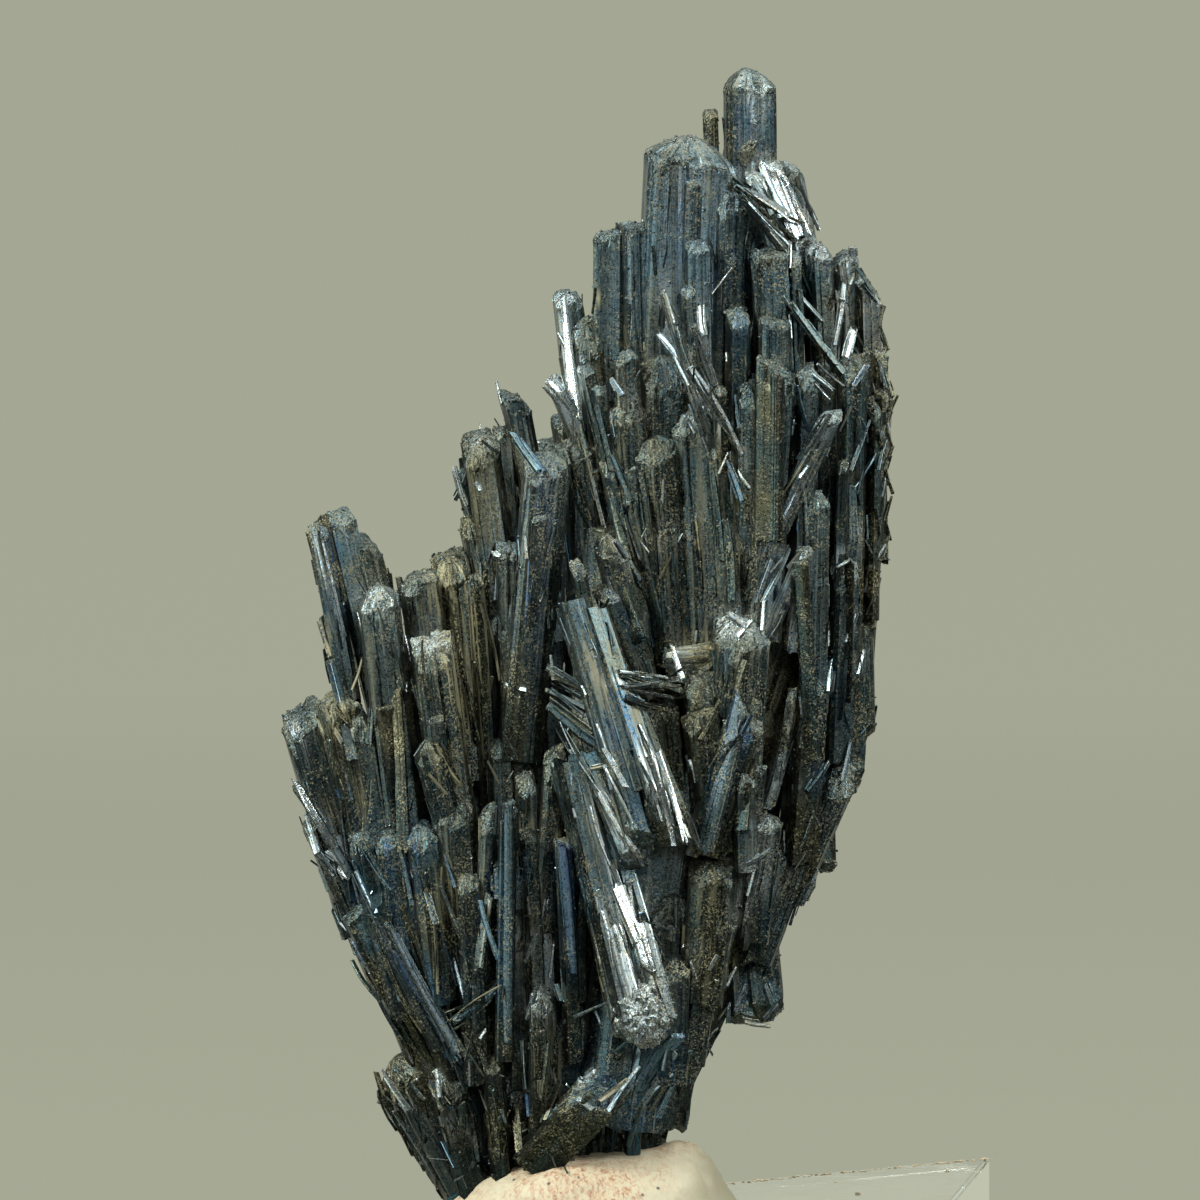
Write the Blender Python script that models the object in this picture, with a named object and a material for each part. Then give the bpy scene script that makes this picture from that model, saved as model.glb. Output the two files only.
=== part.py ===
"""Stibnite cluster held upright in a lump of putty on a clear acrylic slab.

Metres, +Z up. The origin is on the slab's underside, below the middle of the putty,
and the show side faces -Y. The rows below are in millimetres.
"""

import math

import bmesh
import bpy
import numpy as np
from mathutils import Vector

MM = 0.001

# Overall sizes, in millimetres
SLAB_THICKNESS = 11.0
SLAB_BEVEL = 0.8
SLAB_CORNERS = ((43.0, 54.0), (-31.0, -7.6), (-26.0, -31.0), (29.0, -31.0))
GAP = 0.3
PUTTY_FLOOR = SLAB_THICKNESS + GAP
PUTTY_CENTRE = (-1.9, -3.0)
PUTTY_HALF_WIDTH = 15.3
PUTTY_HALF_DEPTH = 11.5

# The crystal rows are laid out as seen from the front at this distance, on the plane y = 0,
# with this height in the middle of the view. What stands nearer is drawn in to suit.
VIEW_DISTANCE = 520.0
VIEW_HEIGHT = 72.5

# Each crystal runs from a foot in the mass to a free end.
#   foot x, y, z, end x, y, z, width across, thickness in depth, turn in degrees,
#   lean (how much further the end's right side runs than its left),
#   crown (how far the middle of the end stands beyond its rim)
SUMMIT = (
    (15.0, 3.0, 102.5, 14.8, 3.0, 126.1, 5.7, 5.4, 12, -0.5, 1.7),
    (11.4, 2.0, 109.5, 11.0, 2.0, 121.8, 1.6, 1.8, 0, 0.2, 0.0),
    (6.8, 0.0, 70.5, 9.0, -1.0, 119.3, 9.4, 7.0, 8, -0.6, 2.1),
    (4.2, -2.0, 76.5, 3.4, -2.0, 110.5, 3.2, 4.4, 15, 0.6, 0.0),
    (0.8, -1.0, 80.5, 0.9, -1.0, 109.7, 3.6, 3.6, 10, 0.3, 0.2),
    (12.2, -1.5, 84.5, 12.9, -2.4, 116.0, 4.2, 5.0, 30, -1.2, 0.8),
    (10.0, -4.6, 90.5, 9.8, -5.0, 109.0, 2.7, 2.6, 12, 0.3, 0.3),
    (21.2, -0.5, 99.5, 17.9, 0.0, 116.6, 4.4, 4.0, 20, -1.6, 0.9),
    (19.0, -3.4, 102.5, 15.2, -4.0, 115.6, 1.8, 2.0, 0, -0.7, 0.3),
    (18.6, -4.6, 110.9, 13.4, -5.2, 113.9, 1.0, 1.2, 20, 0.0, 0.2),
    (19.5, -4.4, 106.2, 13.9, -5.6, 113.0, 0.9, 1.1, 45, 0.0, 0.2),
    (23.8, 1.5, 80.5, 24.5, 2.0, 107.8, 2.9, 4.0, 10, 0.3, 0.2),
    (22.8, -2.0, 80.5, 21.5, -2.2, 108.8, 3.2, 4.0, 25, -0.8, 0.3),
    (27.2, 1.0, 76.5, 26.5, 1.0, 105.0, 3.1, 5.0, 14, -2.4, 0.4),
    (18.0, -4.0, 84.5, 16.8, -4.6, 108.0, 3.8, 4.6, 8, 0.2, 0.4),
    (20.0, -4.5, 87.5, 19.3, -5.2, 107.6, 1.5, 2.0, 30, 0.4, 0.0),
    (24.5, -2.4, 96.0, 24.1, -3.0, 106.3, 1.0, 1.2, 20, 0.4, 0.0),
    (24.2, -5.0, 95.2, 19.0, -6.6, 102.2, 1.0, 1.2, 30, 0.3, 0.0),
)
RIGHT_FLANK = (
    (27.0, 0.0, 76.5, 28.0, 0.0, 99.0, 1.8, 3.6, 10, -0.8, 0.0),
    (26.6, -1.0, 72.5, 28.2, -1.0, 94.2, 2.5, 4.0, 20, -0.5, 0.3),
    (26.0, 0.6, 62.5, 27.4, 1.0, 84.7, 2.3, 4.2, 8, -0.3, 0.3),
    (25.6, 0.0, 77.5, 26.1, -0.4, 58.4, 3.0, 4.2, 12, -0.5, 0.2),
    (24.7, -1.0, 70.5, 24.3, -1.4, 52.0, 4.4, 4.0, 16, -3.2, 0.2),
    (21.8, -1.0, 62.5, 22.5, -1.0, 45.1, 2.5, 3.0, 0, 0.0, 0.3),
    (20.6, 0.0, 58.5, 19.3, 0.0, 41.4, 4.2, 4.0, 18, -2.4, 0.2),
    (14.6, -1.0, 47.5, 16.3, -1.2, 29.7, 4.9, 4.6, 10, 0.4, 1.2),
    (13.5, -2.0, 44.5, 14.1, -2.4, 29.8, 2.6, 3.0, 25, 0.5, 0.4),
    (24.6, -3.4, 68.5, 25.2, -4.0, 97.3, 3.0, 4.0, 12, -0.6, 0.3),
    (27.0, -3.0, 70.5, 27.3, -3.6, 93.0, 1.8, 3.0, 30, 0.3, 0.2),
    (21.2, -6.6, 62.5, 21.6, -7.6, 83.8, 2.9, 3.6, 10, 0.3, 1.1),
    (23.6, -4.6, 56.5, 24.5, -5.6, 78.0, 3.2, 4.0, 20, 0.6, 0.2),
    (24.2, -6.0, 72.5, 24.3, -7.2, 86.8, 1.4, 2.0, 0, 0.2, 0.5),
    (20.0, -7.0, 46.5, 21.4, -8.2, 65.3, 3.4, 4.0, 14, 0.8, 0.3),
    (19.0, -4.6, 42.5, 25.0, -5.2, 56.2, 3.2, 3.4, 24, -0.5, 0.2),
    (15.6, -5.4, 36.5, 20.2, -6.4, 48.8, 3.4, 3.4, 6, 0.6, 0.3),
    (16.8, -8.6, 52.0, 19.4, -9.0, 63.9, 1.4, 1.8, 0, 0.2, 0.0),
    (16.6, -9.6, 68.5, 20.9, -10.8, 78.0, 1.6, 1.6, 30, 0.3, 0.0),
    (19.0, -8.4, 67.5, 20.1, -9.6, 75.6, 1.4, 1.6, 10, 0.3, 0.2),
)
CENTRE = (
    (13.5, -5.0, 72.5, 13.8, -6.2, 102.3, 2.6, 3.2, 14, 0.2, 0.3),
    (17.5, -6.2, 80.5, 17.4, -7.0, 101.0, 3.6, 3.2, 10, -0.6, 0.2),
    (16.0, -7.4, 68.5, 17.7, -8.6, 97.5, 4.0, 5.0, 20, -0.8, 0.2),
    (14.5, -7.0, 74.5, 14.8, -8.0, 94.8, 1.8, 3.0, 0, 0.0, 0.2),
    (20.0, -7.0, 72.5, 20.8, -8.0, 96.3, 2.4, 3.5, 14, 0.5, 0.0),
    (16.2, -8.4, 76.5, 23.4, -10.6, 91.5, 2.4, 2.2, 10, 0.8, 0.3),
    (12.2, -7.8, 40.5, 14.3, -9.6, 72.0, 5.8, 5.5, 16, 0.4, 0.6),
    (13.5, -7.0, 68.5, 13.3, -8.4, 80.5, 2.2, 3.0, 10, 0.0, 0.2),
    (12.2, -7.0, 85.5, 12.0, -8.2, 94.1, 1.6, 2.0, 20, 0.2, 0.3),
    (4.5, -5.0, 68.5, 2.7, -6.2, 93.1, 4.4, 4.5, 12, -0.8, 0.3),
    (7.4, -5.8, 66.5, 5.2, -7.2, 90.0, 5.0, 4.0, 20, 0.4, 0.3),
    (10.5, -5.0, 66.5, 9.2, -6.0, 92.7, 5.2, 4.0, 8, 0.3, 0.3),
    (12.9, -5.4, 68.5, 11.6, -6.6, 88.5, 2.8, 3.0, 24, -0.4, 0.2),
    (3.2, -5.6, 84.5, 2.5, -6.6, 97.8, 2.5, 3.0, 10, 0.4, 1.0),
    (0.6, -5.2, 85.5, -0.1, -6.2, 94.2, 1.8, 2.4, 20, -0.2, 0.6),
    (6.8, -4.2, 80.5, 6.4, -5.2, 97.6, 5.2, 4.6, 14, 0.5, 0.3),
    (10.5, -7.4, 89.3, 6.2, -9.4, 103.4, 1.0, 1.0, 20, 0.3, 0.0),
    (14.3, -8.0, 87.0, 8.7, -10.0, 95.7, 0.9, 1.0, 45, 0.0, 0.2),
    (11.6, -7.0, 93.5, 9.3, -9.2, 100.0, 1.2, 1.1, 10, 0.3, 0.0),
    (9.2, -5.0, 97.5, 8.8, -6.2, 104.2, 1.6, 1.6, 30, 0.3, 0.2),
    (3.4, -5.4, 72.5, 0.6, -7.0, 87.0, 1.8, 2.4, 12, 0.6, 0.0),
    (5.6, -6.4, 58.5, 0.5, -8.6, 79.6, 3.3, 4.0, 16, 0.2, 1.3),
    (8.2, -6.0, 62.5, 2.8, -7.6, 83.9, 2.6, 3.0, 30, 0.4, 0.2),
    (5.5, -8.0, 61.5, 0.1, -10.0, 74.2, 2.4, 3.0, 8, -0.4, 0.3),
    (-0.4, -9.4, 66.0, -2.5, -11.6, 76.8, 1.6, 1.8, 20, 0.0, 0.6),
    (6.8, -8.0, 66.0, 12.2, -9.0, 66.9, 3.4, 3.0, 10, 0.4, 0.0),
    (10.6, -9.0, 52.5, 10.0, -10.6, 65.7, 3.8, 3.4, 12, 0.2, 0.2),
    (12.2, -10.0, 47.5, 9.7, -12.0, 61.9, 3.8, 3.2, 20, 0.4, 0.5),
    (6.8, -8.4, 52.5, 5.5, -10.2, 62.5, 4.6, 3.4, 6, 0.6, 0.4),
    (10.2, -11.0, 47.5, 14.8, -13.0, 61.3, 4.0, 3.4, 14, 0.5, 0.0),
    (14.5, -12.0, 45.5, 14.3, -13.4, 55.7, 2.2, 2.2, 20, 0.0, 0.6),
    (15.2, -9.8, 38.5, 16.7, -11.4, 51.3, 3.4, 3.0, 10, 0.5, 0.4),
    (10.0, -9.8, 32.5, 11.2, -12.0, 46.7, 4.6, 4.0, 8, 0.3, 0.2),
    (8.8, -8.0, 26.5, 11.2, -10.2, 40.8, 3.6, 4.0, 18, -0.2, 0.3),
    (12.2, -10.0, 34.0, 13.3, -11.6, 40.0, 1.3, 1.4, 0, 0.3, 0.0),
    (7.0, -10.0, 24.5, 7.4, -12.0, 37.4, 3.4, 3.4, 14, 0.2, 0.7),
    (6.4, -8.6, 32.5, 7.2, -10.2, 44.0, 5.0, 4.0, 10, 0.5, 0.3),
)
LEFT_STEPS = (
    (-0.8, 1.6, 80.5, -3.4, 2.0, 103.9, 3.2, 4.0, 14, -0.6, 0.4),
    (0.4, -1.4, 78.5, -1.4, -2.0, 101.1, 3.0, 4.0, 10, 0.8, 0.3),
    (-0.6, -3.0, 85.0, -4.9, -4.2, 95.0, 1.7, 2.0, 8, 0.0, 0.0),
    (-1.5, 0.0, 78.5, -3.9, 0.0, 91.8, 2.6, 3.0, 20, 0.4, 0.4),
    (1.0, -3.6, 85.5, -1.6, -4.6, 96.3, 1.8, 3.0, 12, 0.4, 0.0),
    (-5.5, 2.4, 76.5, -8.8, 3.0, 93.6, 3.0, 4.0, 16, -1.4, 0.4),
    (-8.0, 2.6, 64.0, -9.7, 3.4, 90.2, 2.4, 3.0, 12, 0.3, 0.0),
    (-9.2, 1.4, 68.5, -12.4, 2.0, 90.1, 4.2, 5.0, 10, 0.8, 0.3),
    (-10.6, 2.4, 72.5, -14.1, 3.0, 85.8, 1.6, 2.4, 20, 0.3, 0.2),
    (-9.5, 1.0, 64.5, -13.4, 1.0, 81.3, 2.2, 3.0, 12, 0.4, 0.2),
    (-8.0, -3.0, 54.5, -8.8, -4.0, 78.5, 3.6, 4.0, 8, 0.3, 0.2),
    (-8.0, -4.6, 56.5, -5.1, -6.2, 88.0, 4.8, 4.0, 14, 1.8, 0.0),
    (-1.0, -2.6, 66.5, -2.1, -3.6, 88.9, 3.9, 4.0, 20, -0.4, 0.2),
    (-12.8, -0.8, 54.5, -15.3, -1.0, 78.1, 4.0, 4.5, 10, 0.2, 0.9),
    (-15.0, -2.4, 50.5, -18.3, -3.0, 75.5, 4.0, 4.0, 16, 0.6, 0.2),
    (-18.6, -4.6, 42.5, -22.4, -6.2, 74.3, 4.6, 5.0, 12, 0.3, 1.5),
    (-13.6, -6.4, 44.5, -17.0, -8.2, 69.3, 4.8, 4.0, 8, 0.5, 0.3),
    (-11.0, -3.2, 50.5, -12.5, -4.2, 75.3, 1.8, 3.0, 20, 0.0, 0.2),
    (-13.8, -9.0, 44.5, -17.6, -11.0, 58.9, 3.0, 3.0, 10, 0.6, 1.1),
    (-18.4, -1.0, 48.0, -26.6, 0.0, 82.0, 3.8, 3.6, 14, -1.0, 0.8),
    (-17.0, -0.6, 52.0, -24.2, 0.6, 79.6, 3.6, 3.4, 20, -2.8, 0.2),
    (-25.0, -2.0, 62.5, -28.4, -2.6, 80.5, 2.3, 2.4, 6, 0.6, 0.0),
    (-25.8, -0.8, 60.5, -27.8, -1.2, 70.9, 1.2, 1.6, 20, 0.3, 0.0),
    (-23.4, -2.0, 39.5, -30.0, -3.2, 62.6, 5.4, 6.0, 12, 0.8, 0.7),
    (-22.2, -4.0, 40.5, -26.6, -5.2, 63.4, 4.2, 5.0, 18, 0.4, 0.3),
    (-21.2, -5.0, 42.5, -24.4, -6.2, 62.2, 2.6, 4.0, 10, -1.0, 0.2),
    (-25.0, -6.0, 44.9, -30.5, -6.8, 54.2, 1.1, 1.4, 20, 0.2, 0.0),
    (-21.8, -3.0, 34.0, -29.0, -4.2, 51.1, 2.6, 4.0, 14, 0.4, 0.6),
    (-18.2, -2.6, 26.5, -24.5, -3.2, 42.0, 2.8, 4.0, 8, 0.4, 0.4),
    (-19.8, -6.4, 31.5, -24.0, -8.2, 49.8, 3.4, 4.0, 20, 0.4, 0.3),
    (-18.2, -7.4, 31.5, -21.4, -9.2, 49.9, 3.2, 4.0, 10, -0.2, 0.3),
    (-16.0, -9.2, 32.5, -18.2, -11.0, 50.6, 3.2, 3.6, 14, 0.0, 0.9),
    (-16.8, -4.6, 25.5, -24.6, -6.2, 41.8, 3.2, 3.0, 12, 0.5, 0.0),
    (-14.4, -7.2, 25.0, -21.5, -9.2, 40.8, 2.8, 3.0, 20, 0.5, 0.2),
    (-13.2, -8.2, 24.5, -17.5, -9.8, 34.0, 2.0, 2.4, 10, 0.3, 0.0),
    (-12.4, -9.0, 24.5, -13.4, -11.0, 45.7, 2.8, 3.4, 16, 0.2, 0.3),
    (-13.4, -8.0, 34.5, -15.0, -9.8, 54.2, 4.4, 4.6, 10, 0.6, 0.5),
    (-9.5, -4.0, 42.5, -10.1, -5.2, 58.8, 2.6, 3.0, 8, 0.0, 0.0),
    (-7.0, -5.4, 40.5, -7.5, -6.6, 56.0, 2.2, 3.0, 18, 0.3, 0.0),
)
FRONT = (
    (-9.6, -11.4, 26.5, -9.2, -13.0, 52.5, 1.9, 2.2, 10, 0.2, 0.2),
    (-12.0, -9.4, 34.5, -11.1, -11.0, 52.2, 1.9, 2.4, 16, 0.3, 0.2),
    (-6.4, -9.8, 32.5, -7.3, -11.6, 49.8, 1.9, 2.4, 8, 0.0, 0.3),
    (-5.6, -6.8, 39.5, -4.5, -8.2, 58.0, 2.6, 3.0, 14, 0.4, 0.2),
    (-2.6, -10.6, 26.5, -3.7, -12.6, 48.8, 1.8, 2.0, 22, 0.0, 0.1),
    (-1.7, -6.8, 32.5, -1.2, -9.6, 45.6, 1.3, 1.6, 10, 0.3, 0.0),
    (-2.8, -12.4, 56.2, 3.9, -15.2, 27.9, 4.2, 4.6, 14, 0.3, 1.0),
    (0.2, -12.0, 53.0, 5.9, -14.8, 28.6, 3.6, 4.4, 24, -0.3, 1.0),
    (-1.0, -13.0, 57.0, 3.8, -15.0, 45.4, 3.3, 3.0, 8, -0.3, 0.2),
    (-2.7, -13.0, 72.2, 4.3, -16.2, 47.2, 3.4, 4.4, 16, 0.3, 0.3),
    (-0.9, -12.6, 71.0, 6.9, -16.4, 47.6, 3.6, 4.6, 34, 0.2, 0.4),
    (0.9, -12.0, 67.0, 9.0, -15.6, 48.0, 2.3, 3.4, 10, 0.2, 0.0),
    (2.0, -13.4, 59.6, -5.5, -11.6, 63.5, 0.9, 1.2, 20, 0.0, 0.2),
    (1.6, -13.2, 61.2, -5.3, -11.2, 65.8, 1.0, 1.2, 0, 0.2, 0.0),
    (1.8, -13.4, 56.8, -5.2, -11.2, 62.0, 1.1, 1.2, 10, 0.0, 0.2),
    (1.8, -10.2, 65.3, 8.3, -11.6, 63.3, 0.9, 2.0, 10, 0.0, 0.0),
    (2.0, -9.8, 63.4, 8.0, -11.2, 64.6, 0.9, 2.0, 0, 0.2, 0.0),
)
FOOT = (
    (4.0, -2.0, 20.5, 15.5, -3.2, 46.5, 4.2, 4.0, 12, 0.3, 0.3),
    (5.5, 0.0, 20.5, 13.8, 0.0, 37.5, 3.4, 4.0, 20, 0.4, 0.2),
    (8.4, 0.6, 32.5, 7.1, 1.0, 19.2, 3.8, 3.6, 8, 0.2, 0.2),
    (-13.0, -2.0, 13.3, -20.5, -3.2, 26.9, 5.2, 7.0, 14, 1.2, 1.3),
    (-13.8, -1.0, 12.9, -21.6, -1.2, 24.8, 3.8, 5.0, 10, 0.6, 0.8),
    (-15.4, -1.6, 19.0, -20.9, -2.6, 27.0, 5.8, 6.0, 10, 1.4, 1.1),
    (-12.8, -6.0, 13.5, -16.0, -8.2, 25.9, 3.4, 4.0, 18, 0.4, 0.3),
    (-10.0, -9.8, 34.0, -14.7, -11.6, 30.3, 1.4, 1.4, 10, 0.2, 0.0),
    (-9.8, -8.4, 15.0, -10.8, -10.6, 27.0, 2.4, 3.0, 20, 0.0, 0.3),
    (-6.0, -10.0, 18.5, -5.9, -12.6, 34.0, 2.4, 3.0, 12, 0.2, 0.4),
    (-6.8, -10.0, 16.0, 1.0, -13.0, 24.6, 4.8, 4.4, 14, 0.6, 0.5),
    (3.2, -7.6, 16.0, 3.7, -9.2, 27.3, 1.7, 2.0, 6, 0.4, 0.0),
    (1.0, -5.0, 16.0, 1.0, -6.4, 32.5, 4.0, 4.0, 16, 0.3, 0.3),
    (4.6, -1.8, 17.5, 5.5, -2.4, 32.5, 4.0, 4.0, 10, 0.3, 0.3),
    (-8.0, -5.6, 14.5, -8.6, -7.2, 28.5, 4.2, 5.0, 20, 0.3, 0.3),
    (-2.8, -5.4, 15.5, -3.0, -7.2, 32.5, 5.0, 5.0, 10, 0.3, 0.3),
)
# The far side carries on in the same way: the same fan, a little lower than the front.
FAR_SIDE = (
    (-16.0, 4.0, 30.0, -25.0, 6.0, 58.5, 4.6, 4.4, 14, 0.5, 0.5),
    (-13.0, 5.0, 32.0, -19.5, 8.0, 69.0, 4.8, 4.6, 20, 0.3, 0.8),
    (-10.0, 5.0, 40.0, -14.6, 8.4, 73.0, 4.2, 4.4, 10, -0.4, 0.3),
    (-7.0, 6.0, 46.0, -10.4, 9.6, 83.5, 4.8, 4.8, 16, 0.6, 0.4),
    (-4.0, 5.0, 50.0, -5.6, 8.0, 89.5, 4.4, 4.4, 8, 0.3, 0.6),
    (-0.5, 6.0, 52.0, -1.2, 9.6, 96.5, 4.8, 4.6, 22, -0.5, 0.4),
    (4.0, 5.4, 60.0, 4.6, 8.2, 107.0, 5.2, 4.8, 12, 0.4, 0.8),
    (8.0, 6.0, 60.0, 9.6, 8.8, 113.0, 4.8, 4.8, 18, 0.3, 0.5),
    (12.0, 5.4, 64.0, 14.4, 7.6, 117.5, 4.6, 4.4, 10, -0.6, 0.9),
    (15.0, 6.0, 60.0, 18.8, 8.4, 109.5, 4.4, 4.4, 20, -0.5, 0.4),
    (19.0, 4.6, 58.0, 23.4, 6.6, 101.0, 4.4, 4.4, 12, -0.7, 0.6),
    (20.0, 6.0, 48.0, 23.2, 9.0, 88.0, 4.4, 4.2, 16, 0.4, 0.3),
    (17.0, 6.4, 70.0, 21.6, 8.6, 47.5, 4.0, 4.0, 10, -1.0, 0.4),
    (14.0, 6.8, 38.0, 18.6, 11.4, 76.0, 4.6, 4.2, 22, 0.5, 0.6),
    (9.0, 7.0, 36.0, 12.8, 12.2, 88.0, 5.0, 4.4, 14, 0.4, 0.4),
    (5.0, 7.0, 34.0, 6.2, 12.8, 80.0, 4.8, 4.6, 8, 0.3, 0.7),
    (1.0, 7.0, 32.0, 0.6, 12.0, 72.5, 4.4, 4.4, 18, -0.4, 0.3),
    (-3.0, 6.6, 30.0, -5.2, 12.4, 70.0, 4.6, 4.4, 12, 0.4, 0.5),
    (-7.0, 6.4, 28.0, -11.4, 11.4, 60.5, 4.6, 4.2, 20, 0.5, 0.4),
    (-11.0, 5.6, 26.0, -17.6, 9.6, 51.0, 4.4, 4.2, 10, 0.3, 0.6),
    (-14.0, 4.6, 20.0, -20.2, 6.8, 38.5, 4.0, 4.0, 16, 0.4, 0.4),
    (-9.0, 5.4, 16.5, -12.6, 9.8, 38.0, 4.2, 4.2, 12, 0.3, 0.5),
    (-4.0, 6.0, 16.5, -4.6, 11.0, 48.0, 4.6, 4.4, 20, 0.4, 0.4),
    (1.0, 5.4, 17.0, 3.6, 10.6, 52.0, 4.4, 4.4, 8, 0.3, 0.3),
    (4.0, 4.8, 20.0, 9.6, 9.4, 44.0, 4.2, 4.2, 16, 0.4, 0.5),
    (12.0, 5.0, 56.0, 13.4, 8.0, 33.0, 4.2, 4.0, 12, 0.4, 0.8),
    (-2.0, 4.6, 15.5, -1.0, 8.4, 30.0, 4.0, 4.0, 10, 0.2, 0.3),
    (-9.0, 1.6, 13.6, -14.6, 3.0, 30.0, 4.6, 5.0, 14, 0.5, 0.4),
)
# Thick inner crystals that the others are grown round. They leave no closed hollow inside.
INNER = (
    (-3.0, 1.0, 15.5, 9.0, 1.0, 98.0, 8.0, 10.0, 12, 0.0, 0.0),
    (-7.0, 1.0, 15.5, -20.0, 0.6, 58.5, 8.0, 9.0, 12, 0.0, 0.0),
    (1.5, 1.0, 18.0, 22.6, 0.8, 88.0, 8.0, 9.0, 12, 0.0, 0.0),
    (-4.0, 1.0, 15.5, -8.0, 1.0, 76.5, 9.0, 10.0, 12, 0.0, 0.0),
    (0.0, 1.0, 20.5, 16.0, 1.0, 70.5, 12.0, 12.0, 12, 0.0, 0.0),
    (-11.5, -1.0, 14.5, -19.0, -2.0, 36.5, 7.0, 8.0, 12, 0.0, 0.0),
    (2.0, -1.0, 22.5, 3.0, -1.0, 82.0, 14.0, 11.0, 12, 0.0, 0.0),
    (-6.0, -4.0, 17.5, -8.0, -4.6, 50.0, 12.0, 8.0, 12, 0.0, 0.0),
    (2.0, -7.0, 20.5, 7.0, -6.6, 60.0, 10.0, 8.0, 12, 0.0, 0.0),
)

# Corners of the cross-section, as shares of the half width and half thickness:
# a flattened lozenge with its corners taken off, as long crystals of this kind have.
WIDE_SECTION = (
    (1.0, 0.0), (0.78, 0.62), (0.22, 1.0), (-0.50, 0.92),
    (-1.0, 0.10), (-0.82, -0.58), (-0.15, -1.0), (0.55, -0.88),
)
NARROW_SECTION = (
    (1.0, 0.05), (0.48, 0.95), (-0.52, 1.0), (-1.0, -0.08), (-0.50, -1.0), (0.50, -0.92),
)
THIN_SECTION = ((1.0, 0.0), (0.0, 1.0), (-1.0, 0.0), (0.0, -1.0))


def seen(x, y, z):
    """The point that shows at x, z on the plane y = 0 while standing y behind it."""
    share = (VIEW_DISTANCE + y) / VIEW_DISTANCE
    return Vector((x * share, y, VIEW_HEIGHT + (z - VIEW_HEIGHT) * share))


def mesh_object(name, points, faces):
    mesh = bpy.data.meshes.new(name)
    mesh.from_pydata([Vector(p) * MM for p in points], [], faces)
    mesh.validate()
    obj = bpy.data.objects.new(name, mesh)
    bpy.context.scene.collection.objects.link(obj)
    return obj


def face_outwards(obj):
    work = bmesh.new()
    work.from_mesh(obj.data)
    bmesh.ops.recalc_face_normals(work, faces=work.faces[:])
    work.to_mesh(obj.data)
    work.free()


def crystal(name, row):
    """One long flat-faced crystal."""
    foot, end = seen(*row[0:3]), seen(*row[3:6])
    width, thick, turn, lean, crown = row[6:11]
    along = (end - foot).normalized()
    across = along.cross(Vector((0, 1, 0))).normalized()
    if across.x < 0:
        across = -across
    depth = along.cross(across).normalized()
    if depth.y < 0:
        depth = -depth
    section = WIDE_SECTION if width >= 5.0 else NARROW_SECTION if width >= 1.5 else THIN_SECTION
    angle = math.radians(turn)
    rim = []
    for u, v in section:
        a, b = u * width / 2, v * thick / 2
        rim.append((a * math.cos(angle) - b * math.sin(angle),
                    a * math.sin(angle) + b * math.cos(angle)))
    # Turning a flat section changes how wide it looks, so it is brought back to its width.
    share = width / (max(a for a, _ in rim) - min(a for a, _ in rim))
    rim = [(a * share, b) for a, b in rim]
    points = [foot + across * a + depth * b for a, b in rim]
    points += [
        end + across * a + depth * b + along * (lean * a / width - crown) for a, b in rim
    ]
    n = len(rim)
    faces = [tuple(range(n))[::-1]]
    faces += [(i, (i + 1) % n, n + (i + 1) % n, n + i) for i in range(n)]
    if crown > 0.45 and n > 4:
        points += [
            end + across * (a * 0.5) + depth * (b * 0.5)
            + along * (lean * a * 0.5 / width - crown * 0.12)
            for a, b in rim
        ]
        faces += [(n + i, n + (i + 1) % n, 2 * n + (i + 1) % n, 2 * n + i) for i in range(n)]
        ring = 2 * n
    else:
        ring = n
    points.append(end if ring == 2 * n else end - along * crown * 0.4)
    faces += [(ring + i, ring + (i + 1) % n, len(points) - 1) for i in range(n)]
    obj = mesh_object(name, points, faces)
    face_outwards(obj)
    return obj


def putty_crest(x):
    """Height of the lump along its ridge."""
    xs = (-18.0, -15.0, -12.0, -9.0, -6.0, 2.0, 5.0, 7.5, 9.5, 11.5, 13.0, 14.0)
    zs = (13.4, 14.4, 15.8, 17.3, 18.0, 18.1, 18.6, 19.6, 19.6, 18.4, 16.6, 15.4)
    return float(np.interp(x, xs, zs))


def putty(name, grown):
    """The lump of putty, pressed hollow where the crystals stand. grown makes it larger all round."""
    around, steps = 28, (1.0, 0.98, 0.93, 0.84, 0.70, 0.52, 0.28)
    points = []
    for share in steps:
        for i in range(around):
            t = 2 * math.pi * i / around
            wave = 1 + 0.035 * math.sin(3 * t + 0.6) + 0.02 * math.sin(7 * t + 2.0)
            x = PUTTY_CENTRE[0] + math.cos(t) * (PUTTY_HALF_WIDTH * wave * share + grown)
            y = PUTTY_CENTRE[1] + math.sin(t) * (PUTTY_HALF_DEPTH * wave * share + grown)
            rise = math.sqrt(max(0.0, 1 - share ** 4))
            hollow = 2.4 * math.exp(-(((x + 4.0) / 9.0) ** 2) - ((y - 0.5) / 4.5) ** 2)
            z = PUTTY_FLOOR + (putty_crest(x) - PUTTY_FLOOR) * rise - hollow * rise
            points.append((x, y, z + (grown if share < 1.0 else -grown * 0.9)))
    x, y = PUTTY_CENTRE
    hollow = 2.4 * math.exp(-(((x + 4.0) / 9.0) ** 2) - ((y - 0.5) / 4.5) ** 2)
    points.append((x, y, putty_crest(x) - hollow + grown))
    faces = [tuple(range(around))[::-1]]
    for k in range(len(steps) - 1):
        a, b = k * around, (k + 1) * around
        for i in range(around):
            j = (i + 1) % around
            faces += [(a + i, a + j, b + i), (a + j, b + j, b + i)]
    last = (len(steps) - 1) * around
    faces += [(last + i, last + (i + 1) % around, len(points) - 1) for i in range(around)]
    obj = mesh_object(name, points, faces)
    face_outwards(obj)
    return obj


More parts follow.
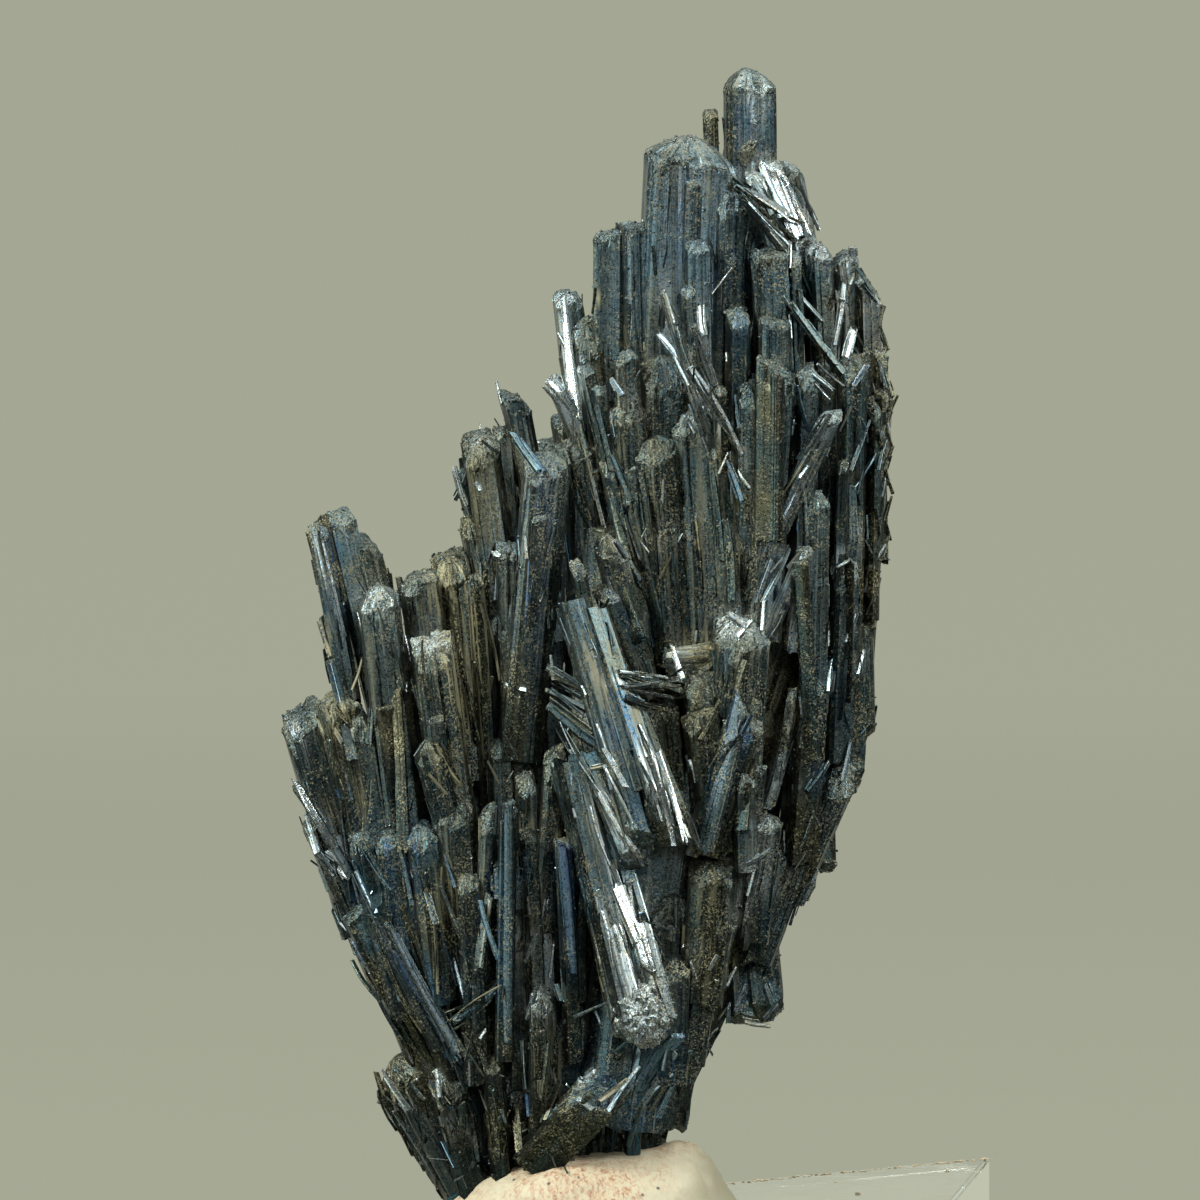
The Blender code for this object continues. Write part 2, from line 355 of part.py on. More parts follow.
def slab(name):
    """The clear slab, with its top edges eased by a small bevel."""
    corners = np.array(SLAB_CORNERS)
    centre = corners.mean(axis=0)
    inner = centre + (corners - centre) * (1 - SLAB_BEVEL / 36)
    top = SLAB_THICKNESS
    points = [(x, y, 0.0) for x, y in corners]
    points += [(x, y, top - SLAB_BEVEL) for x, y in corners]
    points += [(x, y, top) for x, y in inner]
    faces = [(3, 2, 1, 0), (8, 9, 10, 11)]
    for low, high in ((0, 4), (4, 8)):
        faces += [(low + i, low + (i + 1) % 4, high + (i + 1) % 4, high + i) for i in range(4)]
    obj = mesh_object(name, points, faces)
    face_outwards(obj)
    return obj


def keep_outer_shell(obj):
    """Leaves only the outermost of the object's shells, so that the solid holds no closed hollow."""
    work = bmesh.new()
    work.from_mesh(obj.data)
    bmesh.ops.remove_doubles(work, verts=work.verts[:], dist=0.00001)
    bmesh.ops.dissolve_degenerate(work, edges=work.edges[:], dist=0.00001)
    left, shells = set(work.faces), []
    while left:
        shell, queue = set(), [next(iter(left))]
        while queue:
            face = queue.pop()
            if face in shell:
                continue
            shell.add(face)
            for edge in face.edges:
                queue += [other for other in edge.link_faces if other not in shell]
        left -= shell
        shells.append(shell)
    shells.sort(key=lambda shell: -sum(face.calc_area() for face in shell))
    spare = [face for shell in shells[1:] for face in shell]
    bmesh.ops.delete(work, geom=spare, context="FACES")
    work.to_mesh(obj.data)
    work.free()


def painted(obj, name, colour, metallic, roughness):
    material = bpy.data.materials.new(name)
    material.use_nodes = True
    shader = material.node_tree.nodes["Principled BSDF"]
    shader.inputs["Base Color"].default_value = (*colour, 1.0)
    shader.inputs["Metallic"].default_value = metallic
    shader.inputs["Roughness"].default_value = roughness
    obj.data.materials.clear()
    obj.data.materials.append(material)


for old in list(bpy.data.objects):
    bpy.data.objects.remove(old, do_unlink=True)

# The crystals, joined into one solid and trimmed where they press into the putty
rows = INNER + SUMMIT + RIGHT_FLANK + CENTRE + LEFT_STEPS + FRONT + FOOT + FAR_SIDE
parts = bpy.data.collections.new("crystals")
bpy.context.scene.collection.children.link(parts)
cluster = crystal("stibnite_cluster", rows[0])
for count, row in enumerate(rows[1:]):
    piece = crystal(f"crystal_{count}", row)
    bpy.context.scene.collection.objects.unlink(piece)
    parts.objects.link(piece)
    piece.hide_render = True
    piece.display_type = "WIRE"
join = cluster.modifiers.new("join", "BOOLEAN")
join.operation, join.solver = "UNION", "EXACT"
join.operand_type, join.collection = "COLLECTION", parts
print_of_putty = putty("putty_print", GAP)
print_of_putty.hide_render = True
print_of_putty.display_type = "WIRE"
trim = cluster.modifiers.new("trim", "BOOLEAN")
trim.operation, trim.solver, trim.object = "DIFFERENCE", "EXACT", print_of_putty

bpy.context.view_layer.update()
graph = bpy.context.evaluated_depsgraph_get()
joined = bpy.data.meshes.new_from_object(cluster.evaluated_get(graph))
cluster.modifiers.clear()
cluster.data = joined
keep_outer_shell(cluster)
for piece in list(parts.objects) + [print_of_putty]:
    bpy.data.objects.remove(piece, do_unlink=True)
bpy.data.collections.remove(parts)

lump = putty("mounting_putty", 0.0)
base = slab("acrylic_base")

painted(cluster, "stibnite", (0.10, 0.13, 0.16), 0.9, 0.38)
painted(lump, "putty", (0.74, 0.66, 0.52), 0.0, 0.7)
painted(base, "acrylic", (0.86, 0.90, 0.86), 0.0, 0.08)
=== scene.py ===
import math

import bmesh
import bpy
import numpy as np
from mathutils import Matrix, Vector, noise


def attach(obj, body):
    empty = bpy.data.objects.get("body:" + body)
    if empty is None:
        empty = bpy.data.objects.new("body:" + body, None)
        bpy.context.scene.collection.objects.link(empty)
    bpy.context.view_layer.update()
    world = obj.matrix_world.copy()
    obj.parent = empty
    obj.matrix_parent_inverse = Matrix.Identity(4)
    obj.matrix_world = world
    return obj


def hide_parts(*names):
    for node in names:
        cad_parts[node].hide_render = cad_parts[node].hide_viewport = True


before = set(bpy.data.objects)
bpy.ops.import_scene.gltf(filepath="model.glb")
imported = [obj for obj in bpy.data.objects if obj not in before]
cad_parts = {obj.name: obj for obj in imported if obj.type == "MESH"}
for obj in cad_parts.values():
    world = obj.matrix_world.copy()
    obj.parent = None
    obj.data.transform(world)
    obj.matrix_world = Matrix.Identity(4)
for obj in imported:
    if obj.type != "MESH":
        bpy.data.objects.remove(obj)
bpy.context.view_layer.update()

MM = 0.001


# ---- The view: a level camera in front of the specimen, a pale cove and soft lamps ----
# The camera stands 520 mm in front of the putty's middle, as high as the middle of the piece.
# The cove is one seamless pale grey-green sheet that curves up all round, far behind.
view = bpy.data.cameras.new("view")
view.sensor_width, view.lens = 36.0, 156.0
view.clip_start, view.clip_end = 0.05, 20.0
camera = bpy.data.objects.new("view", view)
camera.location = (0.0, -0.520, 0.0725)
camera.rotation_euler = (math.pi / 2, 0.0, 0.0)
bpy.context.scene.collection.objects.link(camera)
bpy.context.scene.camera = camera
bpy.context.scene.view_settings.view_transform = "Standard"
bpy.context.scene.view_settings.look = "None"


def cove_mesh(flat, bend, height, around, steps):
    """A round floor whose edge curves up into a wall."""
    rings = [(flat, 0.0)]
    rings += [(flat + bend * math.sin(a), bend * (1 - math.cos(a)))
              for a in np.linspace(0, math.pi / 2, steps + 1)[1:]]
    rings.append((flat + bend, height))
    points, faces = [(0.0, 0.0, 0.0)], []
    for radius, z in rings:
        points += [(radius * math.cos(2 * math.pi * i / around),
                    radius * math.sin(2 * math.pi * i / around), z) for i in range(around)]
    faces += [(0, 1 + i, 1 + (i + 1) % around) for i in range(around)]
    for k in range(len(rings) - 1):
        a, b = 1 + k * around, 1 + (k + 1) * around
        faces += [(a + (i + 1) % around, a + i, b + i, b + (i + 1) % around)
                  for i in range(around)]
    mesh = bpy.data.meshes.new("cove")
    mesh.from_pydata(points, [], faces)
    mesh.shade_smooth()
    return mesh


cove = bpy.data.objects.new("cove", cove_mesh(1.0, 1.2, 2.2, 96, 24))
bpy.context.scene.collection.objects.link(cove)
paper = bpy.data.materials.new("cove_paper")
paper.use_nodes = True
sheet = paper.node_tree.nodes["Principled BSDF"]
sheet.inputs["Base Color"].default_value = (0.020, 0.021, 0.016, 1)
sheet.inputs["Roughness"].default_value = 0.95
sheet.inputs["Specular IOR Level"].default_value = 0.0
sheet.inputs["Emission Color"].default_value = (0.40, 0.415, 0.315, 1)
# The sheet glows a little less along the floor, where the lamps reach it.
depth_of_paper = paper.node_tree.nodes.new("ShaderNodeTexCoord")
height_of_paper = paper.node_tree.nodes.new("ShaderNodeSeparateXYZ")
glow = paper.node_tree.nodes.new("ShaderNodeMapRange")
glow.inputs["From Max"].default_value = 0.04
glow.inputs["To Min"].default_value, glow.inputs["To Max"].default_value = 0.83, 0.885
paper.node_tree.links.new(depth_of_paper.outputs["Object"], height_of_paper.inputs["Vector"])
paper.node_tree.links.new(height_of_paper.outputs["Z"], glow.inputs["Value"])
paper.node_tree.links.new(glow.outputs["Result"], sheet.inputs["Emission Strength"])
cove.data.materials.append(paper)
cove.visible_glossy = False

world = bpy.data.worlds.new("room")
world.use_nodes = True
room, cords = world.node_tree.nodes, world.node_tree.links
where = room.new("ShaderNodeTexCoord")
parts = room.new("ShaderNodeSeparateXYZ")
cords.new(where.outputs["Generated"], parts.inputs["Vector"])
shades = room.new("ShaderNodeValToRGB")
shades.color_ramp.elements[0].position, shades.color_ramp.elements[0].color = 0.0, (0.10, 0.10, 0.09, 1)
shades.color_ramp.elements[1].position, shades.color_ramp.elements[1].color = 1.0, (0.76, 0.80, 0.79, 1)
shades.color_ramp.elements.new(0.30).color = (0.11, 0.13, 0.14, 1)
cords.new(parts.outputs["Z"], shades.inputs["Fac"])
# Beyond the specimen the room is as pale as the cove, which is what the slab mirrors.
beyond = room.new("ShaderNodeMapRange")
beyond.inputs["From Min"].default_value, beyond.inputs["From Max"].default_value = 0.78, 0.92
cords.new(parts.outputs["Y"], beyond.inputs["Value"])
walls = room.new("ShaderNodeMix")
walls.data_type = "RGBA"
cords.new(beyond.outputs["Result"], walls.inputs[0])
cords.new(shades.outputs["Color"], walls.inputs[6])
walls.inputs[7].default_value = (0.60, 0.62, 0.49, 1)
cords.new(walls.outputs[2], room["Background"].inputs["Color"])
room["Background"].inputs["Strength"].default_value = 1.05
bpy.context.scene.world = world


def lamp(name, place, aim, wide, high, watts, colour):
    light = bpy.data.lights.new(name, "AREA")
    light.shape, light.size, light.size_y = "RECTANGLE", wide, high
    light.energy, light.color = watts, colour
    obj = bpy.data.objects.new(name, light)
    obj.location = place
    obj.rotation_euler = (Vector(aim) - Vector(place)).to_track_quat("-Z", "Y").to_euler()
    obj.visible_camera = False
    bpy.context.scene.collection.objects.link(obj)


lamp("key_lamp", (-0.70, -0.45, 0.75), (0, 0, 0.07), 0.42, 0.42, 17.0, (1.0, 0.985, 0.92))
lamp("right_lamp", (0.85, -0.25, 0.60), (0, 0, 0.07), 0.20, 0.50, 11.0, (1.0, 0.98, 0.95))
lamp("top_lamp", (0.10, 0.10, 1.20), (0, 0, 0.07), 0.50, 0.50, 9.0, (0.98, 0.99, 1.0))
lamp("front_lamp", (0.20, -1.25, 0.45), (0, 0, 0.07), 0.40, 0.25, 5.0, (1.0, 1.0, 1.0))
lamp("left_fill", (-1.10, -0.50, 0.30), (0, 0, 0.07), 1.00, 1.20, 7.0, (0.98, 1.0, 0.94))


# ---- The slab: a clear acrylic offcut with four uneven sides ----
# Sawn and polished, with the edges eased. The dust on it has gathered along its far edge.
SLAB_CORNERS = ((43.0, 54.0), (-31.0, -7.6), (-26.0, -31.0), (29.0, -31.0))
SLAB_THICKNESS = 11.0


def linked(name, mesh):
    obj = bpy.data.objects.new(name, mesh)
    bpy.context.scene.collection.objects.link(obj)
    return obj


work = bmesh.new()
low = [work.verts.new((x * MM, y * MM, 0.0)) for x, y in SLAB_CORNERS]
high = [work.verts.new((x * MM, y * MM, SLAB_THICKNESS * MM)) for x, y in SLAB_CORNERS]
work.faces.new(low)
work.faces.new(high)
for i in range(4):
    work.faces.new((low[i], low[(i + 1) % 4], high[(i + 1) % 4], high[i]))
bmesh.ops.recalc_face_normals(work, faces=work.faces[:])
bmesh.ops.bevel(work, geom=work.edges[:], offset=0.45 * MM, segments=3, affect="EDGES")
bmesh.ops.recalc_face_normals(work, faces=work.faces[:])
mesh = bpy.data.meshes.new("clear_slab")
work.to_mesh(mesh)
work.free()
clear_slab = linked("clear_slab", mesh)

acrylic = bpy.data.materials.new("clear_acrylic")
acrylic.use_nodes = True
nodes, links = acrylic.node_tree.nodes, acrylic.node_tree.links
shader = nodes["Principled BSDF"]
shader.inputs["Base Color"].default_value = (0.93, 0.97, 0.94, 1)
shader.inputs["Transmission Weight"].default_value = 1.0
shader.inputs["IOR"].default_value = 1.49
place = nodes.new("ShaderNodeTexCoord")
scratches = nodes.new("ShaderNodeTexNoise")
scratches.inputs["Scale"].default_value = 260.0
scratches.inputs["Detail"].default_value = 6.0
scratches.inputs["Distortion"].default_value = 1.5
links.new(place.outputs["Object"], scratches.inputs["Vector"])
haze = nodes.new("ShaderNodeMapRange")
haze.inputs["From Min"].default_value = 0.45
haze.inputs["From Max"].default_value = 0.75
haze.inputs["To Min"].default_value = 0.02
haze.inputs["To Max"].default_value = 0.09
links.new(scratches.outputs["Fac"], haze.inputs["Value"])
links.new(haze.outputs["Result"], shader.inputs["Roughness"])
wear = nodes.new("ShaderNodeBump")
wear.inputs["Strength"].default_value = 0.05
wear.inputs["Distance"].default_value = 0.0001
links.new(scratches.outputs["Fac"], wear.inputs["Height"])
links.new(wear.outputs["Normal"], shader.inputs["Normal"])
mesh.materials.append(acrylic)
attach(clear_slab, "root")
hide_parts("acrylic_base")


# ---- The slab's dust: brown crumbs along its far edge and three dark specks on its top ----
# Crumbs of rock and putty, none bigger than half a millimetre, stuck to the acrylic.
dice = np.random.default_rng(31)
far_right, far_left = np.array(SLAB_CORNERS[0]), np.array(SLAB_CORNERS[1])
inward = np.array((far_left[1] - far_right[1], far_right[0] - far_left[0]))
inward = inward / np.linalg.norm(inward) * (-1 if inward[1] > 0 else 1)
crumb_places = [(*(far_right + (far_left - far_right) * dice.uniform(0.01, 0.85)
                   + inward * dice.uniform(0.6, 1.6)), dice.uniform(0.06, 0.20)) for _ in range(240)]
crumb_places += [(37.4, 40.0, 0.30), (26.7, 18.4, 0.34), (24.9, 29.5, 0.16)]
grains_work = bmesh.new()
for x, y, radius in crumb_places:
    turn_about = dice.uniform(0, math.pi)
    made = bmesh.ops.create_icosphere(grains_work, subdivisions=1, radius=1.0)
    for vert in made["verts"]:
        lump = 1 + 0.35 * noise.noise(Vector((x, y, 0)) + vert.co * 1.5)
        long, short = vert.co.x * radius * 1.4 * lump, vert.co.y * radius * 0.8 * lump
        vert.co = ((x + long * math.cos(turn_about) - short * math.sin(turn_about)) * MM,
                   (y + long * math.sin(turn_about) + short * math.cos(turn_about)) * MM,
                   (SLAB_THICKNESS + 0.25 * radius + vert.co.z * radius * 0.4 * lump) * MM)
mesh = bpy.data.meshes.new("slab_dust")
grains_work.to_mesh(mesh)
grains_work.free()
slab_dust = linked("slab_dust", mesh)
soil = bpy.data.materials.new("brown_dust")
soil.use_nodes = True
nodes, links = soil.node_tree.nodes, soil.node_tree.links
place = nodes.new("ShaderNodeTexCoord")
mottle = nodes.new("ShaderNodeTexNoise")
mottle.inputs["Scale"].default_value = 900.0
links.new(place.outputs["Object"], mottle.inputs["Vector"])
browns = nodes.new("ShaderNodeValToRGB")
browns.color_ramp.elements[0].position, browns.color_ramp.elements[0].color = 0.35, (0.16, 0.12, 0.07, 1)
browns.color_ramp.elements[1].position, browns.color_ramp.elements[1].color = 0.55, (0.38, 0.32, 0.21, 1)
links.new(mottle.outputs["Fac"], browns.inputs["Fac"])
links.new(browns.outputs["Color"], nodes["Principled BSDF"].inputs["Base Color"])
nodes["Principled BSDF"].inputs["Roughness"].default_value = 0.9
mesh.materials.append(soil)
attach(slab_dust, "root")


# ---- The putty: a cream lump pressed down by hand, with the crystals pushed into it ----
# Oily mounting putty. Its skin shows thumb dents, fine creases and reddish brown streaks.
PUTTY_FLOOR = 11.02
PUTTY_CENTRE = (-1.9, -3.0)
PUTTY_HALF_WIDTH = 15.3
PUTTY_HALF_DEPTH = 11.5
PUTTY_AROUND = 200
PUTTY_STEPS = 44


def putty_crest(x):
    """Height of the lump along its ridge."""
    xs = (-18.0, -15.0, -12.0, -9.0, -6.0, 2.0, 5.0, 7.5, 9.5, 11.5, 13.0, 14.0)
    zs = (13.4, 14.4, 15.8, 17.3, 18.0, 18.1, 18.6, 19.6, 19.6, 18.4, 16.6, 15.4)
    return np.interp(x, xs, zs)


around = np.arange(PUTTY_AROUND) * 2 * math.pi / PUTTY_AROUND
points = [(PUTTY_CENTRE[0], PUTTY_CENTRE[1], PUTTY_FLOOR)]
for step in range(PUTTY_STEPS + 1):
    s = step / PUTTY_STEPS
    share = 1.0 if step < 2 else max(0.004, math.cos((s - 1 / PUTTY_STEPS) * math.pi / 2) ** 0.75)
    for t in around:
        wave = 1 + 0.035 * math.sin(3 * t + 0.6) + 0.02 * math.sin(7 * t + 2.0)
        x = PUTTY_CENTRE[0] + math.cos(t) * PUTTY_HALF_WIDTH * wave * share
        y = PUTTY_CENTRE[1] + math.sin(t) * PUTTY_HALF_DEPTH * wave * share
        rise = math.sqrt(max(0.0, 1 - share ** 4))
        hollow = 2.4 * math.exp(-(((x + 4.0) / 9.0) ** 2) - ((y - 0.5) / 4.5) ** 2)
        z = PUTTY_FLOOR + (putty_crest(x) - PUTTY_FLOOR) * rise - hollow * rise
        dent = noise.noise(Vector((x * 0.22, y * 0.22, z * 0.3 + 4.0))) * 0.5
        crease = noise.noise(Vector((x * 0.9 + 7.0, y * 0.7, z * 1.6))) * 0.16
        fold = 0.4 * math.exp(-((x - 11.4 + 0.35 * (z - 13.0)) / 0.4) ** 2) * (y < -3.0)
        pull = (dent + crease + fold) * min(1.0, rise * 1.6)
        x -= math.cos(t) * pull * share
        y -= math.sin(t) * pull * share
        points.append((x, y, PUTTY_FLOOR if step == 0 else max(PUTTY_FLOOR + 0.02, z - pull * 0.7)))
n = PUTTY_AROUND
faces = [(0, 1 + (i + 1) % n, 1 + i) for i in range(n)]
for k in range(PUTTY_STEPS):
    a, b = 1 + k * n, 1 + (k + 1) * n
    faces += [(a + i, a + (i + 1) % n, b + (i + 1) % n, b + i) for i in range(n)]
points.append((PUTTY_CENTRE[0], PUTTY_CENTRE[1], points[-1][2] + 0.01))
last = 1 + PUTTY_STEPS * n
faces += [(last + i, last + (i + 1) % n, len(points) - 1) for i in range(n)]
mesh = bpy.data.meshes.new("putty_lump")
mesh.from_pydata([tuple(c * MM for c in p) for p in points], [], faces)
mesh.shade_smooth()
putty_lump = linked("putty_lump", mesh)

clay = bpy.data.materials.new("cream_putty")
clay.use_nodes = True
nodes, links = clay.node_tree.nodes, clay.node_tree.links
shader = nodes["Principled BSDF"]
place = nodes.new("ShaderNodeTexCoord")
stretch = nodes.new("ShaderNodeMapping")
stretch.inputs["Scale"].default_value = (2500.0, 2500.0, 1500.0)
stretch.inputs["Rotation"].default_value = (0.1, 0.5, 0.0)
links.new(place.outputs["Object"], stretch.inputs["Vector"])
streaks = nodes.new("ShaderNodeTexNoise")
streaks.inputs["Scale"].default_value = 1.0
streaks.inputs["Detail"].default_value = 6.0
streaks.inputs["Distortion"].default_value = 0.9
links.new(stretch.outputs["Vector"], streaks.inputs["Vector"])
smears = nodes.new("ShaderNodeTexNoise")
smears.inputs["Scale"].default_value = 110.0
smears.inputs["Detail"].default_value = 3.0
links.new(place.outputs["Object"], smears.inputs["Vector"])
ramp = nodes.new("ShaderNodeValToRGB")
ramp.color_ramp.elements[0].position, ramp.color_ramp.elements[0].color = 0.44, (0.385, 0.350, 0.245, 1)
ramp.color_ramp.elements[1].position, ramp.color_ramp.elements[1].color = 0.68, (0.23, 0.105, 0.055, 1)
ramp.color_ramp.elements.new(0.53).color = (0.355, 0.265, 0.175, 1)
links.new(streaks.outputs["Fac"], ramp.inputs["Fac"])
clean_skin = nodes.new("ShaderNodeMix")
clean_skin.data_type = "RGBA"
share = nodes.new("ShaderNodeMapRange")
share.inputs["From Min"].default_value, share.inputs["From Max"].default_value = 0.40, 0.56
links.new(smears.outputs["Fac"], share.inputs["Value"])
links.new(share.outputs["Result"], clean_skin.inputs[0])
clean_skin.inputs[6].default_value = (0.395, 0.372, 0.270, 1)
links.new(ramp.outputs["Color"], clean_skin.inputs[7])
flecks = nodes.new("ShaderNodeTexVoronoi")
flecks.inputs["Scale"].default_value = 420.0
links.new(place.outputs["Object"], flecks.inputs["Vector"])
dot = nodes.new("ShaderNodeMapRange")
dot.inputs["From Min"].default_value, dot.inputs["From Max"].default_value = 0.10, 0.05
links.new(flecks.outputs["Distance"], dot.inputs["Value"])
specked = nodes.new("ShaderNodeMix")
specked.data_type = "RGBA"
links.new(dot.outputs["Result"], specked.inputs[0])
# Painted shade: past the fold the right end of the lump is coloured darker and greyer, for the shade it lies
# in.
sides = nodes.new("ShaderNodeSeparateXYZ")
links.new(place.outputs["Object"], sides.inputs["Vector"])
shaded_end_share = nodes.new("ShaderNodeMapRange")
shaded_end_share.inputs["From Min"].default_value, shaded_end_share.inputs["From Max"].default_value = 0.0085, 0.0115
links.new(sides.outputs["X"], shaded_end_share.inputs["Value"])
putty_with_painted_shade = nodes.new("ShaderNodeMix")
putty_with_painted_shade.data_type = "RGBA"
links.new(shaded_end_share.outputs["Result"], putty_with_painted_shade.inputs[0])
links.new(clean_skin.outputs[2], putty_with_painted_shade.inputs[6])
putty_with_painted_shade.inputs[7].default_value = (0.215, 0.205, 0.135, 1)
links.new(putty_with_painted_shade.outputs[2], specked.inputs[6])
specked.inputs[7].default_value = (0.05, 0.045, 0.04, 1)
links.new(specked.outputs[2], shader.inputs["Base Color"])
shader.inputs["Roughness"].default_value = 0.62
shader.inputs["Subsurface Weight"].default_value = 0.15
shader.inputs["Subsurface Radius"].default_value = (0.0012, 0.0008, 0.0005)
skin = nodes.new("ShaderNodeBump")
skin.inputs["Strength"].default_value = 0.35
skin.inputs["Distance"].default_value = 0.0002
links.new(streaks.outputs["Fac"], skin.inputs["Height"])
links.new(skin.outputs["Normal"], shader.inputs["Normal"])
mesh.materials.append(clay)
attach(putty_lump, "root")
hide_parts("mounting_putty")


# ---- The crystals, first the summit: long grey blades of stibnite standing side by side ----
# Each grew from a foot deep in the mass to a free end, with growth ridges running its whole
# length, narrower blades grown on its sides, and a broken or crusted tip.
#   foot x, y, z, end x, y, z, width across, thickness in depth, turn in degrees,
#   lean (how much further the tip's right side runs), crown (how far its middle stands up)
SUMMIT = (
    (15.0, 3.0, 102.5, 14.8, 3.0, 126.1, 5.7, 5.4, 12, -0.5, 1.7),
    (11.4, 2.0, 109.5, 11.0, 2.0, 121.8, 1.6, 1.8, 0, 0.2, 0.0),
    (6.8, 0.0, 70.5, 9.0, -1.0, 119.3, 9.4, 7.0, 8, -0.6, 2.1),
    (4.2, -2.0, 76.5, 3.4, -2.0, 110.5, 3.2, 4.4, 15, 0.6, 0.0),
    (0.8, -1.0, 80.5, 0.9, -1.0, 109.7, 3.6, 3.6, 10, 0.3, 0.2),
    (12.2, -1.5, 84.5, 12.9, -2.4, 116.0, 4.2, 5.0, 30, -1.2, 0.8),
    (10.0, -4.6, 90.5, 9.8, -5.0, 109.0, 2.7, 2.6, 12, 0.3, 0.3),
    (21.2, -0.5, 99.5, 17.9, 0.0, 116.6, 4.4, 4.0, 20, -1.6, 0.9),
    (19.0, -3.4, 102.5, 15.2, -4.0, 115.6, 1.8, 2.0, 0, -0.7, 0.3),
    (18.6, -4.6, 110.9, 13.4, -5.2, 113.9, 1.0, 1.2, 20, 0.0, 0.2),
    (19.5, -4.4, 106.2, 13.9, -5.6, 113.0, 0.9, 1.1, 45, 0.0, 0.2),
    (23.8, 1.5, 80.5, 24.5, 2.0, 107.8, 2.9, 4.0, 10, 0.3, 0.2),
    (22.8, -2.0, 80.5, 21.5, -2.2, 108.8, 3.2, 4.0, 25, -0.8, 0.3),
    (27.2, 1.0, 76.5, 26.5, 1.0, 105.0, 3.1, 5.0, 14, -2.4, 0.4),
    (18.0, -4.0, 84.5, 16.8, -4.6, 108.0, 3.8, 4.6, 8, 0.2, 0.4),
    (20.0, -4.5, 87.5, 19.3, -5.2, 107.6, 1.5, 2.0, 30, 0.4, 0.0),
    (24.5, -2.4, 96.0, 24.1, -3.0, 106.3, 1.0, 1.2, 20, 0.4, 0.0),
    (24.2, -5.0, 95.2, 19.0, -6.6, 102.2, 1.0, 1.2, 30, 0.3, 0.0),
)
VIEW_DISTANCE = 520.0
VIEW_HEIGHT = 72.5


def seen(x, y, z):
    """The point that shows at x, z on the plane y = 0 while standing y behind it."""
    share = (VIEW_DISTANCE + y) / VIEW_DISTANCE
    return np.array((x * share, y, VIEW_HEIGHT + (z - VIEW_HEIGHT) * share))


def axes_of(foot, end):
    along = (end - foot) / np.linalg.norm(end - foot)
    across = np.cross(along, (0.0, 1.0, 0.0))
    across /= np.linalg.norm(across)
    if across[0] < 0:
        across = -across
    depth = np.cross(along, across)
    return along, across, depth if depth[1] > 0 else -depth


def cut_section(dice):
    """The flat sides of a blade: a rectangle whose corners are cut by more or less."""
    shape = []
    for a, b, first in ((1, 1, "b"), (-1, 1, "a"), (-1, -1, "b"), (1, -1, "a")):
        along_a, along_b = dice.uniform(0.12, 0.60), dice.uniform(0.12, 0.70)
        pair = [(a, b * (1 - along_b)), (a * (1 - along_a), b)]
        shape += pair if first == "b" else pair[::-1]
    return np.array(shape)


def ridged_outline(width, thick, turn, fine, dice):
    """The cross-section: flat sides cut into ridges. Rows of a, b and the length run so far."""
    angle = math.radians(turn)
    flat = cut_section(dice) * (width / 2, 0.95 * thick / 2)
    turned = flat @ np.array(((math.cos(angle), math.sin(angle)),
                              (-math.sin(angle), math.cos(angle))))
    turned[:, 0] *= width / np.ptp(turned[:, 0])
    rim, ran, level = [], 0.0, 0.0
    for i, corner in enumerate(turned):
        side = turned[(i + 1) % len(turned)] - corner
        span = float(np.linalg.norm(side))
        count = max(1, round(span / fine))
        for k in range(count):
            if dice.random() < 0.17:
                deep = dice.random() < 0.13
                level = width * (dice.uniform(0.025, 0.06) if deep else dice.uniform(0.0, 0.006))
            point = corner + side * (k + dice.uniform(-0.25, 0.25) * (k > 0)) / count
            point = point * (1 - min(level, 0.4) / max(0.4, float(np.linalg.norm(point))))
            rim.append((point[0], point[1], ran + span * k / count))
        ran += span
    return np.array(rim), ran


def crumbled(points, amount, size):
    """Points pushed about at random, each by no more than its amount."""
    moved = [noise.noise_vector(Vector(p / size)) for p in points]
    return points + np.array(moved) * amount[:, None]


